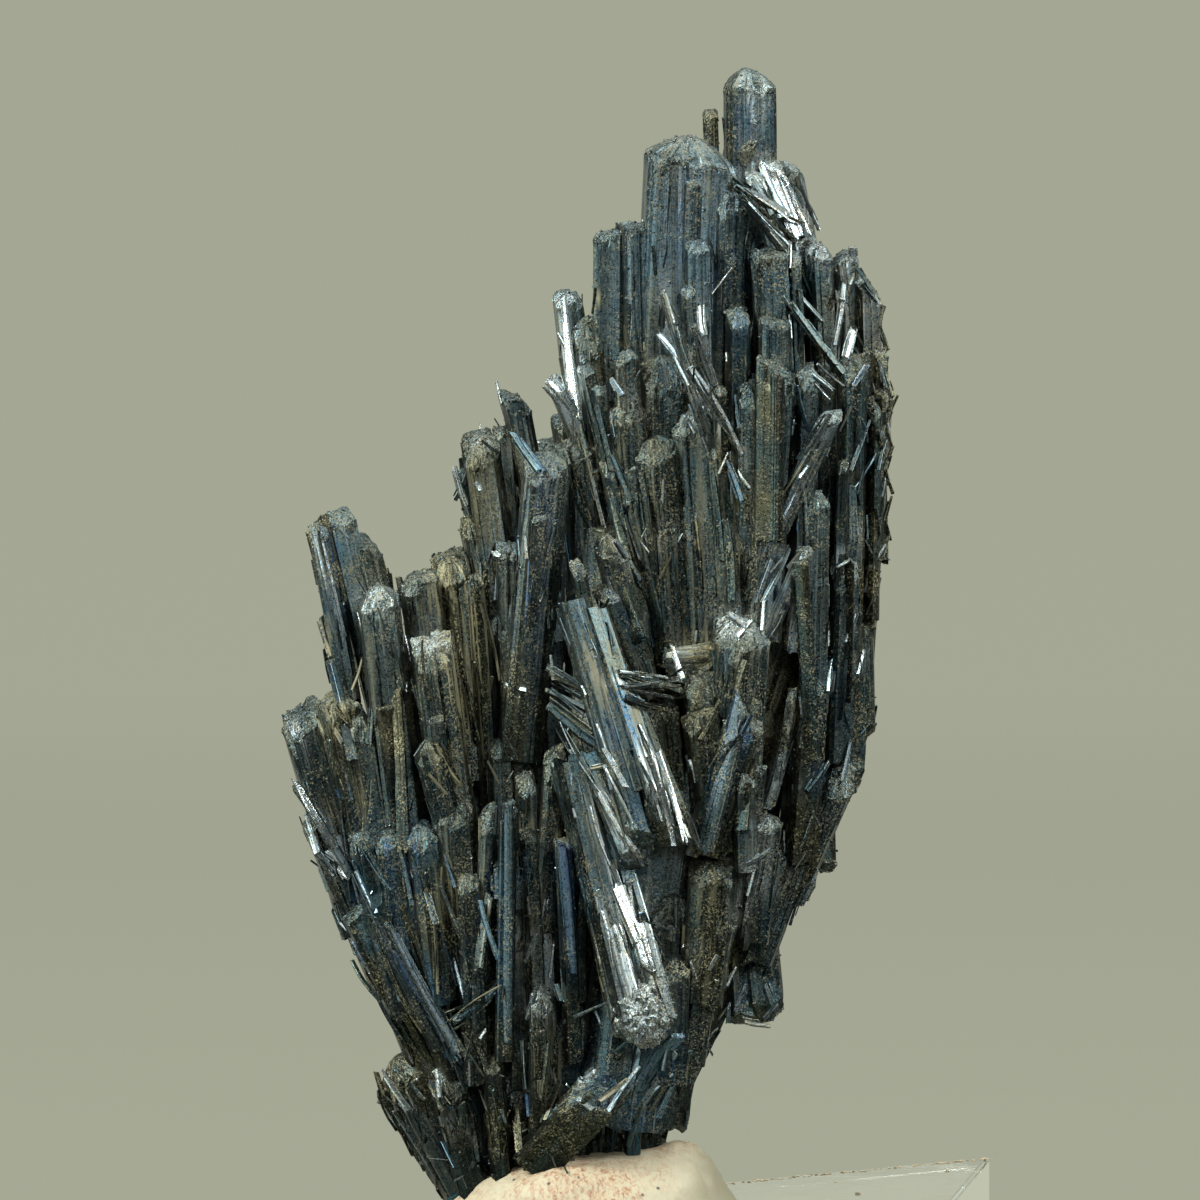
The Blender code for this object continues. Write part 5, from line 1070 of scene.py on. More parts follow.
LOOSE_BLADES = (
    (13.3, -5, 114.7, 17, -4.8, 112.5, 0.5, -31, "K"),
    (13.6, -7, 113.9, 20, -3.8, 110.3, 0.5, -9, "D"),
    (13.8, -6.2, 113.5, 18.4, -3.5, 109.3, 0.4, -4, "T"),
    (14.2, -6.3, 112.9, 19.6, -3.2, 108.5, 0.5, -5, "D"),
    (14.6, -6.5, 112, 18, -4.7, 109.3, 0.3, 17, "H"),
    (14.8, -6.8, 112.2, 19, -4.1, 107.9, 0.5, 34, "X"),
    (19, -6.5, 105.7, 19.1, -5.5, 108.3, 0.3, 30, "C"),
    (16, -1.1, 108.2, 18, -2.1, 108.5, 0.5, -21, "X"),
    (20, -2.5, 108.9, 17.2, -2.5, 115.9, 2.2, 4, "W"),
    (18.4, -5, 110.9, 16.2, -2.7, 116.1, 1.2, -16, "X"),
    (20.3, -1.7, 111.9, 18.5, -2.1, 115.9, 0.9, -10, "H"),
    (21.4, -0.8, 110.1, 19.6, -2.4, 114.9, 0.8, -10, "H"),
    (21.9, -0.7, 109.5, 20.3, -1.7, 113, 0.5, 5, "C"),
    (20.8, -3.7, 108.5, 20, -2.6, 111.1, 0.3, -4, "H"),
    (17.2, -5, 111.1, 15.2, -5.1, 114.7, 0.8, 5, "X"),
    (26.6, -5.5, 95.9, 25.2, -6.2, 93.8, 0.6, -1, "X"),
    (25.2, -0.3, 98, 26.7, -1.4, 96.3, 0.4, 8, "H"), (25.7, -0.7, 99.2, 26.8, -1.9, 97.1, 0.3, 0, "H"),
    (21.2, -9.6, 95.1, 23.3, -8.5, 93.4, 0.4, 33, "C"),
    (21.8, -9.5, 96.1, 24.4, -8, 93.9, 0.4, 18, "H"),
    (21.5, -9.5, 94.1, 22.9, -8.6, 92.6, 0.3, 35, "C"),
    (26.2, -1.6, 104.1, 27.7, -1.5, 102.3, 0.5, -32, "T"),
    (25.7, -0.9, 105.7, 27.3, -2.3, 103.3, 0.6, 26, "K"),
    (25.3, 0.2, 106.3, 25.2, 0.1, 107.8, 0.7, 2, "C"), (23.5, -3.6, 98, 24.7, -3, 106.3, 0.6, 1, "C"),
    (24.2, -4.2, 102.5, 25.1, -2.3, 106.7, 0.8, 10, "H"),
    (24.6, -5.8, 96.8, 25.3, -4.7, 99.5, 0.9, 24, "C"),
    (24.3, -3.1, 100.3, 23.6, -3.1, 103.5, 0.4, 3, "C"),
    (22.8, -5.9, 97.3, 19.2, -7.1, 101.9, 0.9, -2, "T"),
    (22.2, -4.2, 100.5, 19, -5.8, 104.1, 0.6, 20, "H"),
    (21.2, -3.7, 102.5, 19.6, -5.7, 106.3, 0.5, -32, "T"),
    (26.2, -1.2, 99.5, 25.8, -0.9, 102.9, 0.5, -34, "D"),
    (11.6, -4.4, 106.3, 10.8, -5.8, 108.9, 0.3, -8, "H"),
    (6.2, -5.3, 99.7, 6.4, -7, 103.3, 0.6, 4, "C"), (5.8, -3.5, 100.5, 5.1, -3.8, 102.2, 0.4, 6, "C"),
    (8.2, -6, 100.3, 7.1, -7, 102, 0.3, 23, "H"), (8, -8.8, 96.7, 5.9, -7.4, 99.1, 0.5, -5, "X"),
    (10.3, -8.9, 98.9, 10, -7.6, 101.9, 0.7, -22, "C"),
    (11.4, -8.1, 93.9, 9.6, -9.5, 99.1, 0.7, 5, "C"), (10.4, -7.8, 89.3, 8.3, -8.8, 95.9, 0.9, 5, "C"),
    (14.2, -9.1, 87.1, 9.1, -10, 95.9, 0.6, 6, "C"), (9.5, -7.9, 89.2, 8.8, -8, 90.6, 0.5, 6, "C"),
    (11.6, -8, 85.6, 10.2, -7.8, 88.8, 0.3, -8, "H"), (15, -9.4, 83.7, 13.8, -8.6, 85.5, 0.4, -8, "C"),
    (14.2, -8.9, 82.4, 12.6, -8.2, 86.6, 0.7, -32, "B"),
    (11.2, -5.1, 103.1, 13.2, -4.9, 105.7, 0.25, 0, "C"),
    (11.8, -4.2, 103.2, 13.4, -5, 105.7, 0.25, 14, "H"), (9, -9.8, 94, 6.8, -7.6, 98.5, 0.4, 1, "H"),
    (9.7, -9.9, 93.7, 7.6, -9.4, 99.5, 0.3, -32, "D"),
    (-2.4, -4.5, 91.2, -5.3, -5.4, 94.5, 1.1, 36, "W"),
    (-1.4, -3.2, 89.5, -3.3, -0.8, 94.7, 0.7, -14, "C"),
    (-2.3, -4.5, 90.7, -3.7, -0.3, 102.7, 1.2, -20, "W"),
    (2.2, -8.3, 93, 1.1, -7.6, 94.7, 0.9, -8, "X"), (-0.2, -6.7, 88.5, -1.4, -6, 93.7, 0.5, -32, "K"),
    (-5.1, -6.8, 69.6, -5.3, -7.2, 73.3, 0.4, 5, "C"),
    (-6.2, -7.3, 72.5, -4.4, -7.6, 80.5, 0.9, -34, "T"), (-8, -7.3, 68.5, -7, -8, 76.5, 0.8, -33, "B"),
    (-8.8, -6.7, 63.5, -8, -7.3, 71.5, 0.7, -33, "T"),
    (-3.1, -4.8, 81, -2.1, -5.5, 82.1, 0.4, -20, "H"), (0.9, -6.9, 80.3, 1.4, -7.8, 81.9, 0.4, 2, "C"),
    (4, -8.7, 74.5, 1.6, -10.9, 78.5, 0.6, 40, "X"), (5.7, -8.3, 75.9, 5.1, -8.5, 79.1, 0.6, 5, "C"),
    (8.3, -11.3, 64.7, 7.2, -9.9, 68, 0.8, -15, "C"),
    (-1.8, -12.1, 74.4, -2.2, -12.5, 76.1, 0.5, 6, "C"),
    (-3.4, -4, 72.7, -2.5, -4.7, 73.5, 0.6, -35, "C"), (3.6, -8.5, 78.9, 3, -8.6, 80.5, 0.3, -8, "H"),
    (4.9, -8.7, 77.3, 4, -8.8, 78.4, 0.3, 8, "C"), (20, -10.8, 86.4, 23.1, -12, 91.2, 0.8, 13, "H"),
    (19.2, -10.6, 84.3, 22.6, -11.7, 90, 0.5, -1, "C"),
    (18, -10.2, 82.4, 21.2, -11.3, 87.5, 0.6, 36, "D"),
    (17.5, -10.2, 79.4, 19.9, -10.9, 85, 0.6, 0, "X"),
    (16.5, -10.4, 77.3, 19.5, -10.6, 83.1, 0.4, 0, "X"),
    (19.9, -10.8, 84.8, 20.8, -11, 86, 0.9, -33, "C"),
    (20.8, -9.5, 89.4, 19.6, -10.4, 94, 0.6, -33, "B"),
    (25.1, -7.2, 85.5, 27, -4.8, 90.5, 0.5, 5, "H"), (25.2, -5.7, 83.4, 27.6, -5, 87.1, 0.3, -2, "X"),
    (28.9, -2.7, 89.4, 28.6, -3, 91.1, 0.4, 3, "C"),
    (29.3, -2.6, 92.9, 28.6, -1.7, 95.3, 0.5, 18, "K"),
    (28.6, -2.9, 90.1, 29.3, -2.7, 92.5, 0.5, -37, "O"),
    (29.2, -2.6, 87.9, 28.7, -2.9, 89.7, 0.4, -33, "D"),
    (28.5, -2.8, 85.5, 29.3, -2.6, 87.9, 0.5, 37, "K"),
    (29.3, -2.6, 83.1, 28.6, -2.8, 85.5, 0.5, -33, "O"),
    (28.5, -2.6, 80.5, 29.2, -2.6, 82.9, 0.5, 37, "K"),
    (29, -1.1, 78.5, 28.4, -2.3, 80.9, 0.5, -32, "D"),
    (28, -4.3, 76.5, 28.8, -3.2, 78.9, 0.5, -17, "K"), (28.8, -2, 97.5, 28, -1.6, 99.9, 0.5, -33, "K"),
    (27.9, -1.2, 99.5, 28.5, -1.1, 101.9, 0.5, -37, "D"),
    (28.6, -3, 93.7, 27.9, -1.9, 96.3, 0.5, 17, "T"),
    (27.8, -5.2, 85.5, 28.6, -3.9, 88.5, 0.5, -14, "T"),
    (28, -4.4, 78.9, 27.6, -4.9, 81.7, 0.5, -34, "T"),
    (28.4, -4, 86.9, 27.8, -5.3, 89.5, 0.4, -33, "O"),
    (28.2, -4.3, 82.8, 28.5, -3.6, 84.7, 0.3, -28, "C"),
    (16.5, -11, 72.4, 19, -8.7, 77.7, 0.6, 0, "X"),
    (15.8, -10.2, 72.2, 17.2, -10.5, 76.5, 0.7, 0, "X"),
    (18.7, -11, 72.3, 19.3, -11.4, 75.5, 0.5, 1, "C"),
    (18.9, -9.2, 70.3, 19.2, -10.3, 72.5, 0.4, -12, "H"),
    (16.8, -10.4, 68.3, 18.5, -10.8, 71.5, 0.5, 13, "H"),
    (19.2, -9.5, 69.3, 20.1, -9.9, 72.3, 0.4, 0, "C"),
    (16.8, -10.2, 74.9, 18.3, -9.8, 76.7, 0.4, 12, "H"),
    (23.6, -7.4, 75.8, 25, -8, 76.5, 0.5, -31, "C"),
    (26.6, -3.9, 73.3, 27.2, -4.6, 76.1, 0.6, -14, "H"),
    (4, -10.8, 68.5, -0.2, -7.6, 79.7, 1.6, -31, "K"),
    (2.8, -9.8, 76.5, 0.6, -6.8, 87.5, 0.9, -2, "K"), (5.5, -8.5, 75, 4, -8.9, 85.5, 0.9, -32, "K"),
    (10, -7.2, 72.5, 8.4, -7.7, 87, 0.9, -33, "K"),
    (12.2, -8.4, 76.5, 11.2, -7.9, 85.5, 0.8, -33, "K"),
    (16.8, -10.6, 78.5, 17, -11.3, 96.3, 2.8, -34, "K"),
    (13.2, -9.9, 72.5, 12.6, -9.1, 80.5, 0.9, -33, "K"),
    (7.6, -8, 71.5, 6.8, -8.6, 79.5, 0.8, -33, "K"), (1.2, -8, 85.5, -0.4, -7.1, 92.1, 1, -32, "K"),
    (14.4, -8.7, 72.5, 15.2, -9.5, 77.3, 0.9, -35, "K"),
    (-1, -5.2, 85.5, -2.8, -4, 92.5, 0.8, -31, "D"), (6.4, -8.4, 76.5, 6, -8.8, 82.5, 0.6, -33, "D"),
    (8.2, -7.8, 76.5, 7.6, -8.3, 84.5, 0.6, -33, "D"), (10, -7.3, 74, 9.6, -7.6, 80.5, 0.5, -33, "O"),
    (3, -9, 82.5, 1.2, -8.1, 87, 0.6, -31, "T"), (4.5, -7.8, 73.5, 2.5, -9.1, 78.5, 0.8, -30, "K"),
    (2.5, -8.3, 81, 4, -8.3, 76.5, 0.3, -8, "H"), (-1, -5.6, 80.5, -3.2, -7.5, 87.5, 0.6, -30, "D"),
    (0.3, -5.9, 80, -1.6, -5.6, 87.7, 0.4, -8, "G"), (14, -8.8, 89.5, 13.5, -7.6, 93, 0.4, -4, "T"),
    (15.7, -10.5, 84.5, 18.2, -11.1, 85.5, 0.4, -13, "G"),
    (17, -10.7, 82.5, 16.4, -10.6, 78.5, 0.5, -36, "T"),
    (18.9, -9.5, 59.7, 19.2, -9.9, 62.2, 0.8, -12, "G"),
    (18.1, -9.6, 57.4, 18.6, -9.9, 59.4, 0.9, -14, "G"),
    (17.5, -9.2, 53.2, 18.1, -9.8, 57.1, 0.9, 1, "C"),
    (12.5, -14, 55.4, 15.2, -14.7, 61.1, 0.7, 36, "B"),
    (11.8, -13.9, 55.9, 14.1, -14.8, 59.1, 0.9, 35, "T"),
    (16.2, -12.3, 69.5, 16.4, -11.1, 72.5, 0.5, -26, "C"),
    (18.3, -5.9, 69.3, 19.2, -7.5, 72.5, 0.5, 0, "X"),
    (24.6, -7.1, 68.4, 25.7, -6.9, 71.3, 0.45, 0, "C"),
    (25.8, -2.8, 65.1, 26.4, -2.6, 67.6, 0.45, 0, "C"),
    (22.8, -10.5, 63.4, 23.1, -9.1, 66.5, 0.5, -27, "X"),
    (20.8, -10, 53.3, 22.9, -8.5, 56.3, 0.7, 34, "B"),
    (24.2, -7, 54.4, 25.1, -6.4, 58.5, 0.5, -14, "H"), (15.2, -12, 42.9, 16, -12.5, 46.5, 1.2, 0, "C"),
    (14.8, -13.2, 46.1, 17, -12.4, 47.5, 0.7, 7, "H"),
    (12.3, -11.1, 35.6, 13.2, -12.4, 39.7, 0.9, -13, "G"),
    (10.4, -14.3, 47.5, 14.2, -13.7, 62.5, 2, -37, "T"),
    (14.2, -14.1, 49.5, 15.8, -11.7, 62.5, 1.4, -35, "K"),
    (21.2, -9.6, 56.5, 20, -11.6, 76.5, 1.6, -34, "K"),
    (24.6, -6.8, 62.5, 25, -7.7, 76.5, 1.2, -35, "K"),
    (16, -8.6, 36.5, 15.2, -11.5, 42.5, 1, -32, "K"),
    (12.7, -10.7, 33.9, 13.6, -9.9, 35.8, 0.4, -2, "C"),
    (13.6, -3.9, 31.4, 14.6, -4, 34.1, 0.7, 0, "X"), (12.8, -3.1, 30.2, 12.9, -3.3, 32.2, 0.6, 2, "X"),
    (17.5, -3.1, 31.4, 16.5, -3.4, 34.1, 0.7, 7, "X"),
    (17.3, -4.7, 35.2, 16.9, -5.6, 37.1, 0.4, -8, "H"),
    (18.1, -2.1, 33.8, 17.6, -2.9, 35.1, 0.5, 8, "C"),
    (7.6, -11.4, 39.4, 7.6, -12.1, 42.7, 0.4, 4, "C"), (9.6, -12.3, 34.6, 9, -12.6, 36.4, 0.4, 7, "C"),
    (8.3, -11.9, 37.9, 9.7, -12.7, 37.6, 0.6, 20, "C"),
    (10.5, -13.2, 49.5, 13.5, -14, 53.5, 0.6, 34, "T"),
    (12, -12.4, 47.5, 15, -14.5, 53.5, 0.8, 36, "K"), (20, -9.2, 47.5, 21.2, -9.2, 50.7, 0.5, 37, "D"),
    (21.8, -8.8, 50, 21.2, -9.2, 51.3, 0.5, -7, "H"), (10, -14.1, 58.5, 12, -12.2, 62.5, 0.6, 36, "D"),
    (14.5, -12.1, 66.5, 13.6, -11.9, 63.5, 0.8, -37, "D"),
    (13, -11.5, 62, 12.6, -11.8, 67.5, 0.8, -33, "T"), (14.5, -12.2, 70, 12.8, -12, 71.3, 0.9, 8, "C"),
    (13.8, -12.2, 68.9, 15.2, -12.3, 70.5, 0.6, -33, "C"),
    (20.8, -10.1, 62.5, 20, -7.7, 68.5, 0.5, -5, "D"),
    (24, -6.9, 60.5, 24.6, -7.1, 66.5, 0.6, -36, "T"),
    (20.2, -5.9, 42, 21.8, -6.1, 45.5, 0.5, -1, "X"), (19, -6.1, 40, 20.6, -6.3, 44, 0.4, 36, "T"),
    (16.5, -3.3, 30.5, 17.8, -3.2, 32.1, 0.6, 10, "H"),
    (14.5, -3.9, 30.3, 17, -2.9, 29.9, 0.6, 13, "G"), (17, -11.3, 42, 18, -11.1, 47.5, 0.4, -13, "H"),
    (-26.2, -3.4, 68.5, -28.7, -3.9, 79.7, 0.5, 8, "X"),
    (-25.5, -3.2, 68.9, -27.8, -3.8, 78.5, 0.5, 8, "C"),
    (-25.9, -3.3, 68.3, -28.2, -3.8, 79.5, 0.4, -29, "T"),
    (-25.6, -3, 72.5, -27.5, -2.5, 81.1, 1, -29, "K"), (-26.9, -3, 66.9, -28, -2, 70.4, 0.6, -5, "G"),
    (-12.8, -5.1, 72.1, -13, -5.2, 74.5, 0.5, 6, "C"),
    (-10, -4.4, 64.5, -12.4, -5.9, 74.5, 0.4, -30, "D"),
    (-12.2, -4.2, 58.3, -14.7, -3.3, 72.5, 0.7, -31, "O"),
    (-30, -5.5, 57.8, -31.2, -5.5, 60.4, 0.7, 10, "C"),
    (-28.4, -5.9, 56.5, -30.1, -5.5, 58, 0.5, 11, "C"),
    (-25.8, -7.8, 58.3, -27.8, -7.3, 62.5, 0.6, -5, "G"),
    (-25, -7.4, 59.9, -26.5, -7.9, 62.1, 0.6, 2, "O"),
    (-23, -7.7, 57.9, -22.7, -7.4, 62.7, 0.5, -32, "T"),
    (-18.5, -12, 56.9, -17.4, -12.5, 58.5, 0.4, 14, "H"),
    (-14.2, -11, 54.2, -16.4, -12.2, 58.1, 0.6, -27, "O"),
    (-7.4, -7.5, 63.5, -9.5, -6.6, 64.1, 0.6, 16, "X"),
    (-10, -5.4, 76.9, -10.8, -5.1, 77.2, 0.6, 45, "C"),
    (-26.5, -6.9, 47.8, -30.4, -7.5, 54.3, 1.1, 10, "W"),
    (-25.9, -6.8, 46.2, -27.4, -6.3, 47.4, 0.6, 7, "C"),
    (-25, -6.5, 44.7, -26.2, -6.4, 45.7, 0.9, 12, "C"),
    (-28.2, -6.8, 47.3, -29.5, -5.1, 51.1, 0.8, 4, "H"),
    (-26.8, -6.1, 45.5, -28.2, -6, 47.5, 0.6, -3, "H"),
    (-26.3, -5.8, 44.3, -27.1, -6, 45.6, 0.5, 11, "C"),
    (-26.7, -5.6, 50.9, -27.8, -5.8, 54.1, 0.5, -28, "D"),
    (-23.4, -6.4, 35.8, -25, -6.6, 38.7, 0.5, 10, "X"),
    (-19, -9.7, 33.3, -21.5, -10.8, 39.7, 1, 9, "X"),
    (-17, -10.6, 31.5, -20.4, -10.6, 37.5, 0.8, -27, "B"),
    (-22.8, -9.4, 42, -24.8, -9.1, 46.5, 0.6, -27, "B"),
    (-10, -13, 36.5, -12, -12.1, 42.5, 0.7, -29, "B"),
    (-14.5, -10.3, 34, -16, -11.9, 39.5, 0.6, -29, "B"),
    (-18.8, -10.9, 42, -20, -10.8, 47.5, 0.7, -29, "B"),
    (-16.4, -11.6, 39.5, -18, -12.6, 45.5, 0.6, -29, "T"),
    (-20, -8.9, 32.5, -22.6, -8.9, 38.5, 0.6, -27, "B"),
    (-15.4, -10.5, 28.5, -18.6, -10.4, 34, 0.6, 10, "X"),
    (-22.4, -9.5, 41.2, -24.4, -9.2, 45.4, 0.7, 10, "X"),
    (-21.4, -10.4, 44.3, -24, -10.4, 48.5, 0.7, -27, "B"),
    (-16.4, -13.2, 40.1, -19.7, -9.3, 50.1, 0.9, 26, "T"),
    (-16.2, -11.2, 33.1, -17.2, -12.3, 45.7, 0.6, -31, "D"),
    (-14, -11.7, 39.3, -16, -11.7, 44.1, 0.5, -5, "H"),
    (-14.5, -11.8, 43.8, -15.6, -11.4, 47.1, 0.5, -29, "B"),
    (-13.4, -11.3, 32.2, -14.6, -10.7, 36.7, 0.5, 8, "X"),
    (-12.2, -11.6, 35.8, -11.1, -11.5, 43.2, 1.4, -34, "D"),
    (-13.7, -11.9, 37.5, -12.9, -11.9, 33.8, 0.3, -30, "D"),
    (-10.3, -12.9, 42.8, -10.4, -13, 45.7, 0.9, -32, "B"),
    (-7.5, -12.3, 44.3, -7.5, -12.7, 46.8, 0.8, -32, "B"),
    (-10.5, -11.7, 49.1, -10.3, -13.1, 51.9, 0.4, 5, "X"),
    (-9.3, -12.6, 28.3, -9.2, -14.2, 52.3, 1.2, -32, "T"),
    (-9.1, -12.6, 30.3, -8.8, -13.6, 44.5, 0.3, -9, "H"),
    (-2.8, -12.4, 35.3, -3.9, -13.8, 48.3, 1.2, -32, "B"),
    (-3.7, -13, 42, -4.2, -13.5, 48.2, 0.5, 5, "X"), (-8.1, -10, 37.6, -7, -11.2, 39.8, 0.5, 0, "C"),
    (-7.5, -11.2, 36.3, -6.4, -12.1, 39.1, 0.5, 0, "C"),
    (-5, -7.7, 34.8, -4.6, -7.7, 38.4, 0.5, 3, "C"),
    (-7.3, -12.8, 30.6, -6.4, -13.8, 33.6, 0.5, 1, "X"),
    (-6, -11.6, 39.9, -5.4, -10.4, 42.6, 0.4, -12, "H"),
    (-5.5, -8.5, 41.4, -4.8, -8.5, 43.1, 0.3, -14, "H"),
    (-3.8, -11.7, 32.4, -4.4, -10.9, 34.1, 0.6, 26, "B"),
    (-15, -11.3, 30.4, -9.9, -13.1, 34, 0.3, 2, "D"),
    (-14.5, -11, 29.6, -10.9, -11.9, 32.5, 0.3, 3, "D"),
    (-15.4, -10.9, 31.2, -11.8, -11.9, 32.5, 0.3, 5, "K"),
    (-13.8, -10.1, 26.9, -17, -10.4, 31.1, 0.7, 40, "X"),
    (-16.7, -11, 32.5, -17.6, -11.1, 33.2, 0.7, 12, "C"),
    (-14.2, -10.6, 27.3, -20.8, -11.5, 39.5, 1.1, 10, "X"),
    (-15.4, -9.1, 26.7, -21.8, -10.2, 38.7, 0.8, -27, "B"),
    (-16.2, -9.6, 27.5, -22.8, -9.9, 41, 1.2, -27, "T"),
    (-19.6, -11.2, 47.5, -20.4, -8.1, 63.5, 1.4, -31, "K"),
    (-24.8, -8.8, 56.5, -27, -4.4, 66.5, 1.2, 23, "T"),
    (-17, -11, 34, -19.8, -10.5, 42, 0.9, -28, "K"),
    (-16.4, -10.6, 31.5, -17, -10.9, 32.2, 0.5, 41, "X"),
    (-18.6, -7.3, 28.9, -21, -9.8, 35.1, 0.3, -4, "H"),
    (-14.5, 2.3, 82.5, -13.2, 0.8, 85.5, 0.6, 2, "C"), (-13.3, 1, 82, -14.5, 1.8, 85.9, 0.6, 7, "C"),
    (-12, -0.8, 83.5, -12.4, -0.8, 84.3, 0.6, 8, "C"),
    (-8.4, 1.9, 81.9, -9.3, 1.6, 84.6, 0.3, -7, "H"),
    (-7.7, -7.1, 80.4, -7.3, -7.5, 83.1, 0.3, -11, "H"),
    (-10.2, 0.2, 87.2, -11.9, -0.9, 88.5, 0.4, 34, "C"),
    (-6, -8.3, 85.5, -8.8, -6.3, 89.3, 1, 32, "B"),
    (-19.5, -7.7, 62.5, -20.8, -8.2, 68.5, 0.5, -30, "T"),
    (-17, -9.8, 62.5, -17.8, -10.4, 68.5, 0.4, -30, "K"),
    (-24.8, -7.4, 52.5, -26, -7.5, 56.5, 0.5, -29, "T"),
    (-28.8, -6.7, 52.5, -30, -5.3, 56, 0.5, 27, "K"),
    (-22, -5.9, 32.5, -24.8, -3.9, 36.5, 0.6, 37, "K"),
    (-19.8, -7.4, 28.5, -22.8, -7.7, 34, 0.6, -27, "T"),
    (-23.5, -10.1, 48.5, -22.8, -7.7, 54.5, 0.6, 15, "O"),
    (-24.8, -7, 63.5, -23.8, -6.8, 66.5, 0.4, -34, "D"),
    (-6, -12.3, 22.5, -5.2, -13.1, 28.5, 0.7, -34, "D"),
    (-7.5, -9.7, 23.5, -7.8, -8.9, 28.5, 0.5, -32, "T"),
    (-16, -9.2, 27.5, -20.4, -8.9, 34, 0.9, -26, "T"),
    (-14.4, -9.9, 26.3, -18.2, -10, 32.5, 0.9, -27, "B"),
    (-17.6, -9, 29.3, -21.6, -9.3, 37, 0.8, -27, "D"),
    (-18.8, -6.5, 27.9, -21.2, -8.1, 32.5, 0.9, -26, "K"),
    (-16.8, -6.1, 26.1, -19.6, -8.5, 31.1, 0.8, -25, "K"),
    (-13, -10.9, 26.3, -15.8, -10.5, 31.5, 0.8, -27, "T"),
    (-11.4, -11.6, 25.9, -13, -11.4, 29.5, 0.8, -28, "K"),
    (-12, -11, 28.7, -11.4, -10.9, 29.5, 0.5, -2, "C"),
    (-2.6, -15.4, 71.7, -0.8, -15.8, 67.5, 0.7, -30, "T"),
    (0, -15.2, 68.5, 2.2, -16.4, 62.5, 0.4, -30, "D"),
    (-1, -15.6, 68.5, 0.6, -16.2, 63.5, 0.4, -8, "H"),
    (-0.3, -16.2, 60.1, 0.6, -16.9, 57.6, 0.4, 7, "C"),
    (0.4, -16.9, 57.7, 2.6, -18.1, 53.8, 0.7, 8, "C"), (4, -16.3, 60.1, 5.6, -16.6, 56.8, 0.4, 7, "C"),
    (5.8, -15.8, 57.3, 8.4, -18.1, 48.7, 0.7, 6, "W"), (4.9, -18, 56.9, 7.4, -17.9, 47.9, 0.9, 6, "W"),
    (8.6, -17.7, 51.3, 9.9, -16.1, 47.9, 0.4, 8, "C"),
    (-1.8, -15.2, 63.9, -1.3, -15.7, 62.9, 0.3, -9, "C"),
    (0, -16.4, 53.2, 3.8, -17.4, 47.1, 0.8, 9, "C"), (3.5, -18, 47.5, 4.3, -17.3, 45.9, 0.7, 9, "C"),
    (0.4, -16.4, 56, 3.3, -18.4, 50.1, 0.4, -6, "H"), (-3, -6.2, 57.5, -0.8, -9.3, 51.3, 0.35, 2, "H"),
    (-1, -14.9, 51.9, 1, -15.5, 45.9, 0.35, 7, "C"), (0.8, -15.4, 46.3, 2.1, -15.7, 42.9, 0.7, 7, "C"),
    (2.6, -15.3, 44.2, 3.4, -15, 44.5, 0.5, -8, "C"), (1.7, -15.5, 43.7, 4, -16.2, 38.1, 1.5, 8, "W"),
    (3.6, -15.8, 40, 5.3, -16.3, 35.1, 1.7, 7, "W"),
    (0.2, -16.3, 41.4, 0.9, -16.7, 38.6, 0.45, 6, "C"),
    (0.8, -16.6, 38.5, 1.3, -17, 35.8, 0.4, -8, "H"), (0.6, -16.1, 42, 3, -16.6, 35.7, 0.9, -7, "H"),
    (4.2, -16.2, 41.2, 6.4, -14.4, 36.3, 0.8, -28, "T"),
    (2, -15.7, 65.3, 6.8, -13.6, 64.7, 0.5, 9, "H"), (2.4, -16, 63.8, 6.1, -14.4, 64.3, 0.4, -1, "H"),
    (3.2, -15.5, 63.5, 7.3, -13.7, 62.7, 0.4, -11, "T"),
    (2.8, -16.1, 62.9, 5.2, -15, 61.9, 0.5, -6, "B"), (5, -9.7, 62.4, 8.6, -11.4, 63, 0.4, 11, "K"),
    (-4.8, -4.7, 64.5, -0.8, -6.9, 62.2, 0.5, -29, "T"),
    (-4.8, -12.1, 63.6, -1.4, -14.2, 60.8, 0.4, -34, "T"),
    (-5, -12, 62.7, -0.8, -14.4, 59.6, 0.4, -32, "K"),
    (-4.4, -4.2, 64.3, -0.2, -6.6, 61.7, 0.5, -30, "K"),
    (-5.1, -11.5, 65.1, -1, -13.6, 63.1, 0.5, -27, "K"),
    (-4.7, -11.9, 61.9, -0.8, -14.2, 59.1, 0.5, -32, "D"),
    (-3.4, -12.3, 60.9, 0, -14.3, 58.3, 0.5, -32, "T"),
    (2.2, -15.7, 64.9, 6.4, -13.8, 63.5, 0.4, -8, "K"),
    (3, -15.4, 64.1, 8, -13.3, 63.9, 0.4, -16, "T"), (2.6, -16.4, 62.5, 7, -14.5, 61.3, 0.5, -9, "K"),
    (-4.7, -11.8, 65.7, -0.8, -14, 62.9, 0.6, -32, "T"),
    (-4, -12.6, 60.3, 0, -16.1, 53.3, 0.25, 7, "H"),
    (-4.4, -3.7, 59.5, -1.2, -6.3, 54.9, 0.25, 10, "H"),
    (9, -12.4, 56.5, 9.6, -12.3, 54.3, 0.7, 6, "C"), (0.6, -16.5, 56, 1.2, -16.8, 53.5, 0.5, 6, "X"),
    (1.2, -16.6, 53, 2.8, -17.4, 47.5, 0.4, -31, "D"),
    (-1.5, -14.5, 55.5, 1, -15.7, 56, 0.4, -13, "G"),
    (1.2, -10.6, 27.4, -0.5, -10, 31.4, 0.4, 8, "X"), (-3.8, -11.4, 30.2, 1.3, -14, 32.5, 0.5, 3, "T"),
    (0.6, -10.5, 25.9, 4.1, -12.8, 29.1, 1.1, 0, "K"),
    (4, -10.8, 23.8, 7.9, -12.7, 29.1, 1.4, 33, "B"),
    (2.9, -10.9, 22.8, 4, -10.8, 27.5, 0.8, -36, "T"),
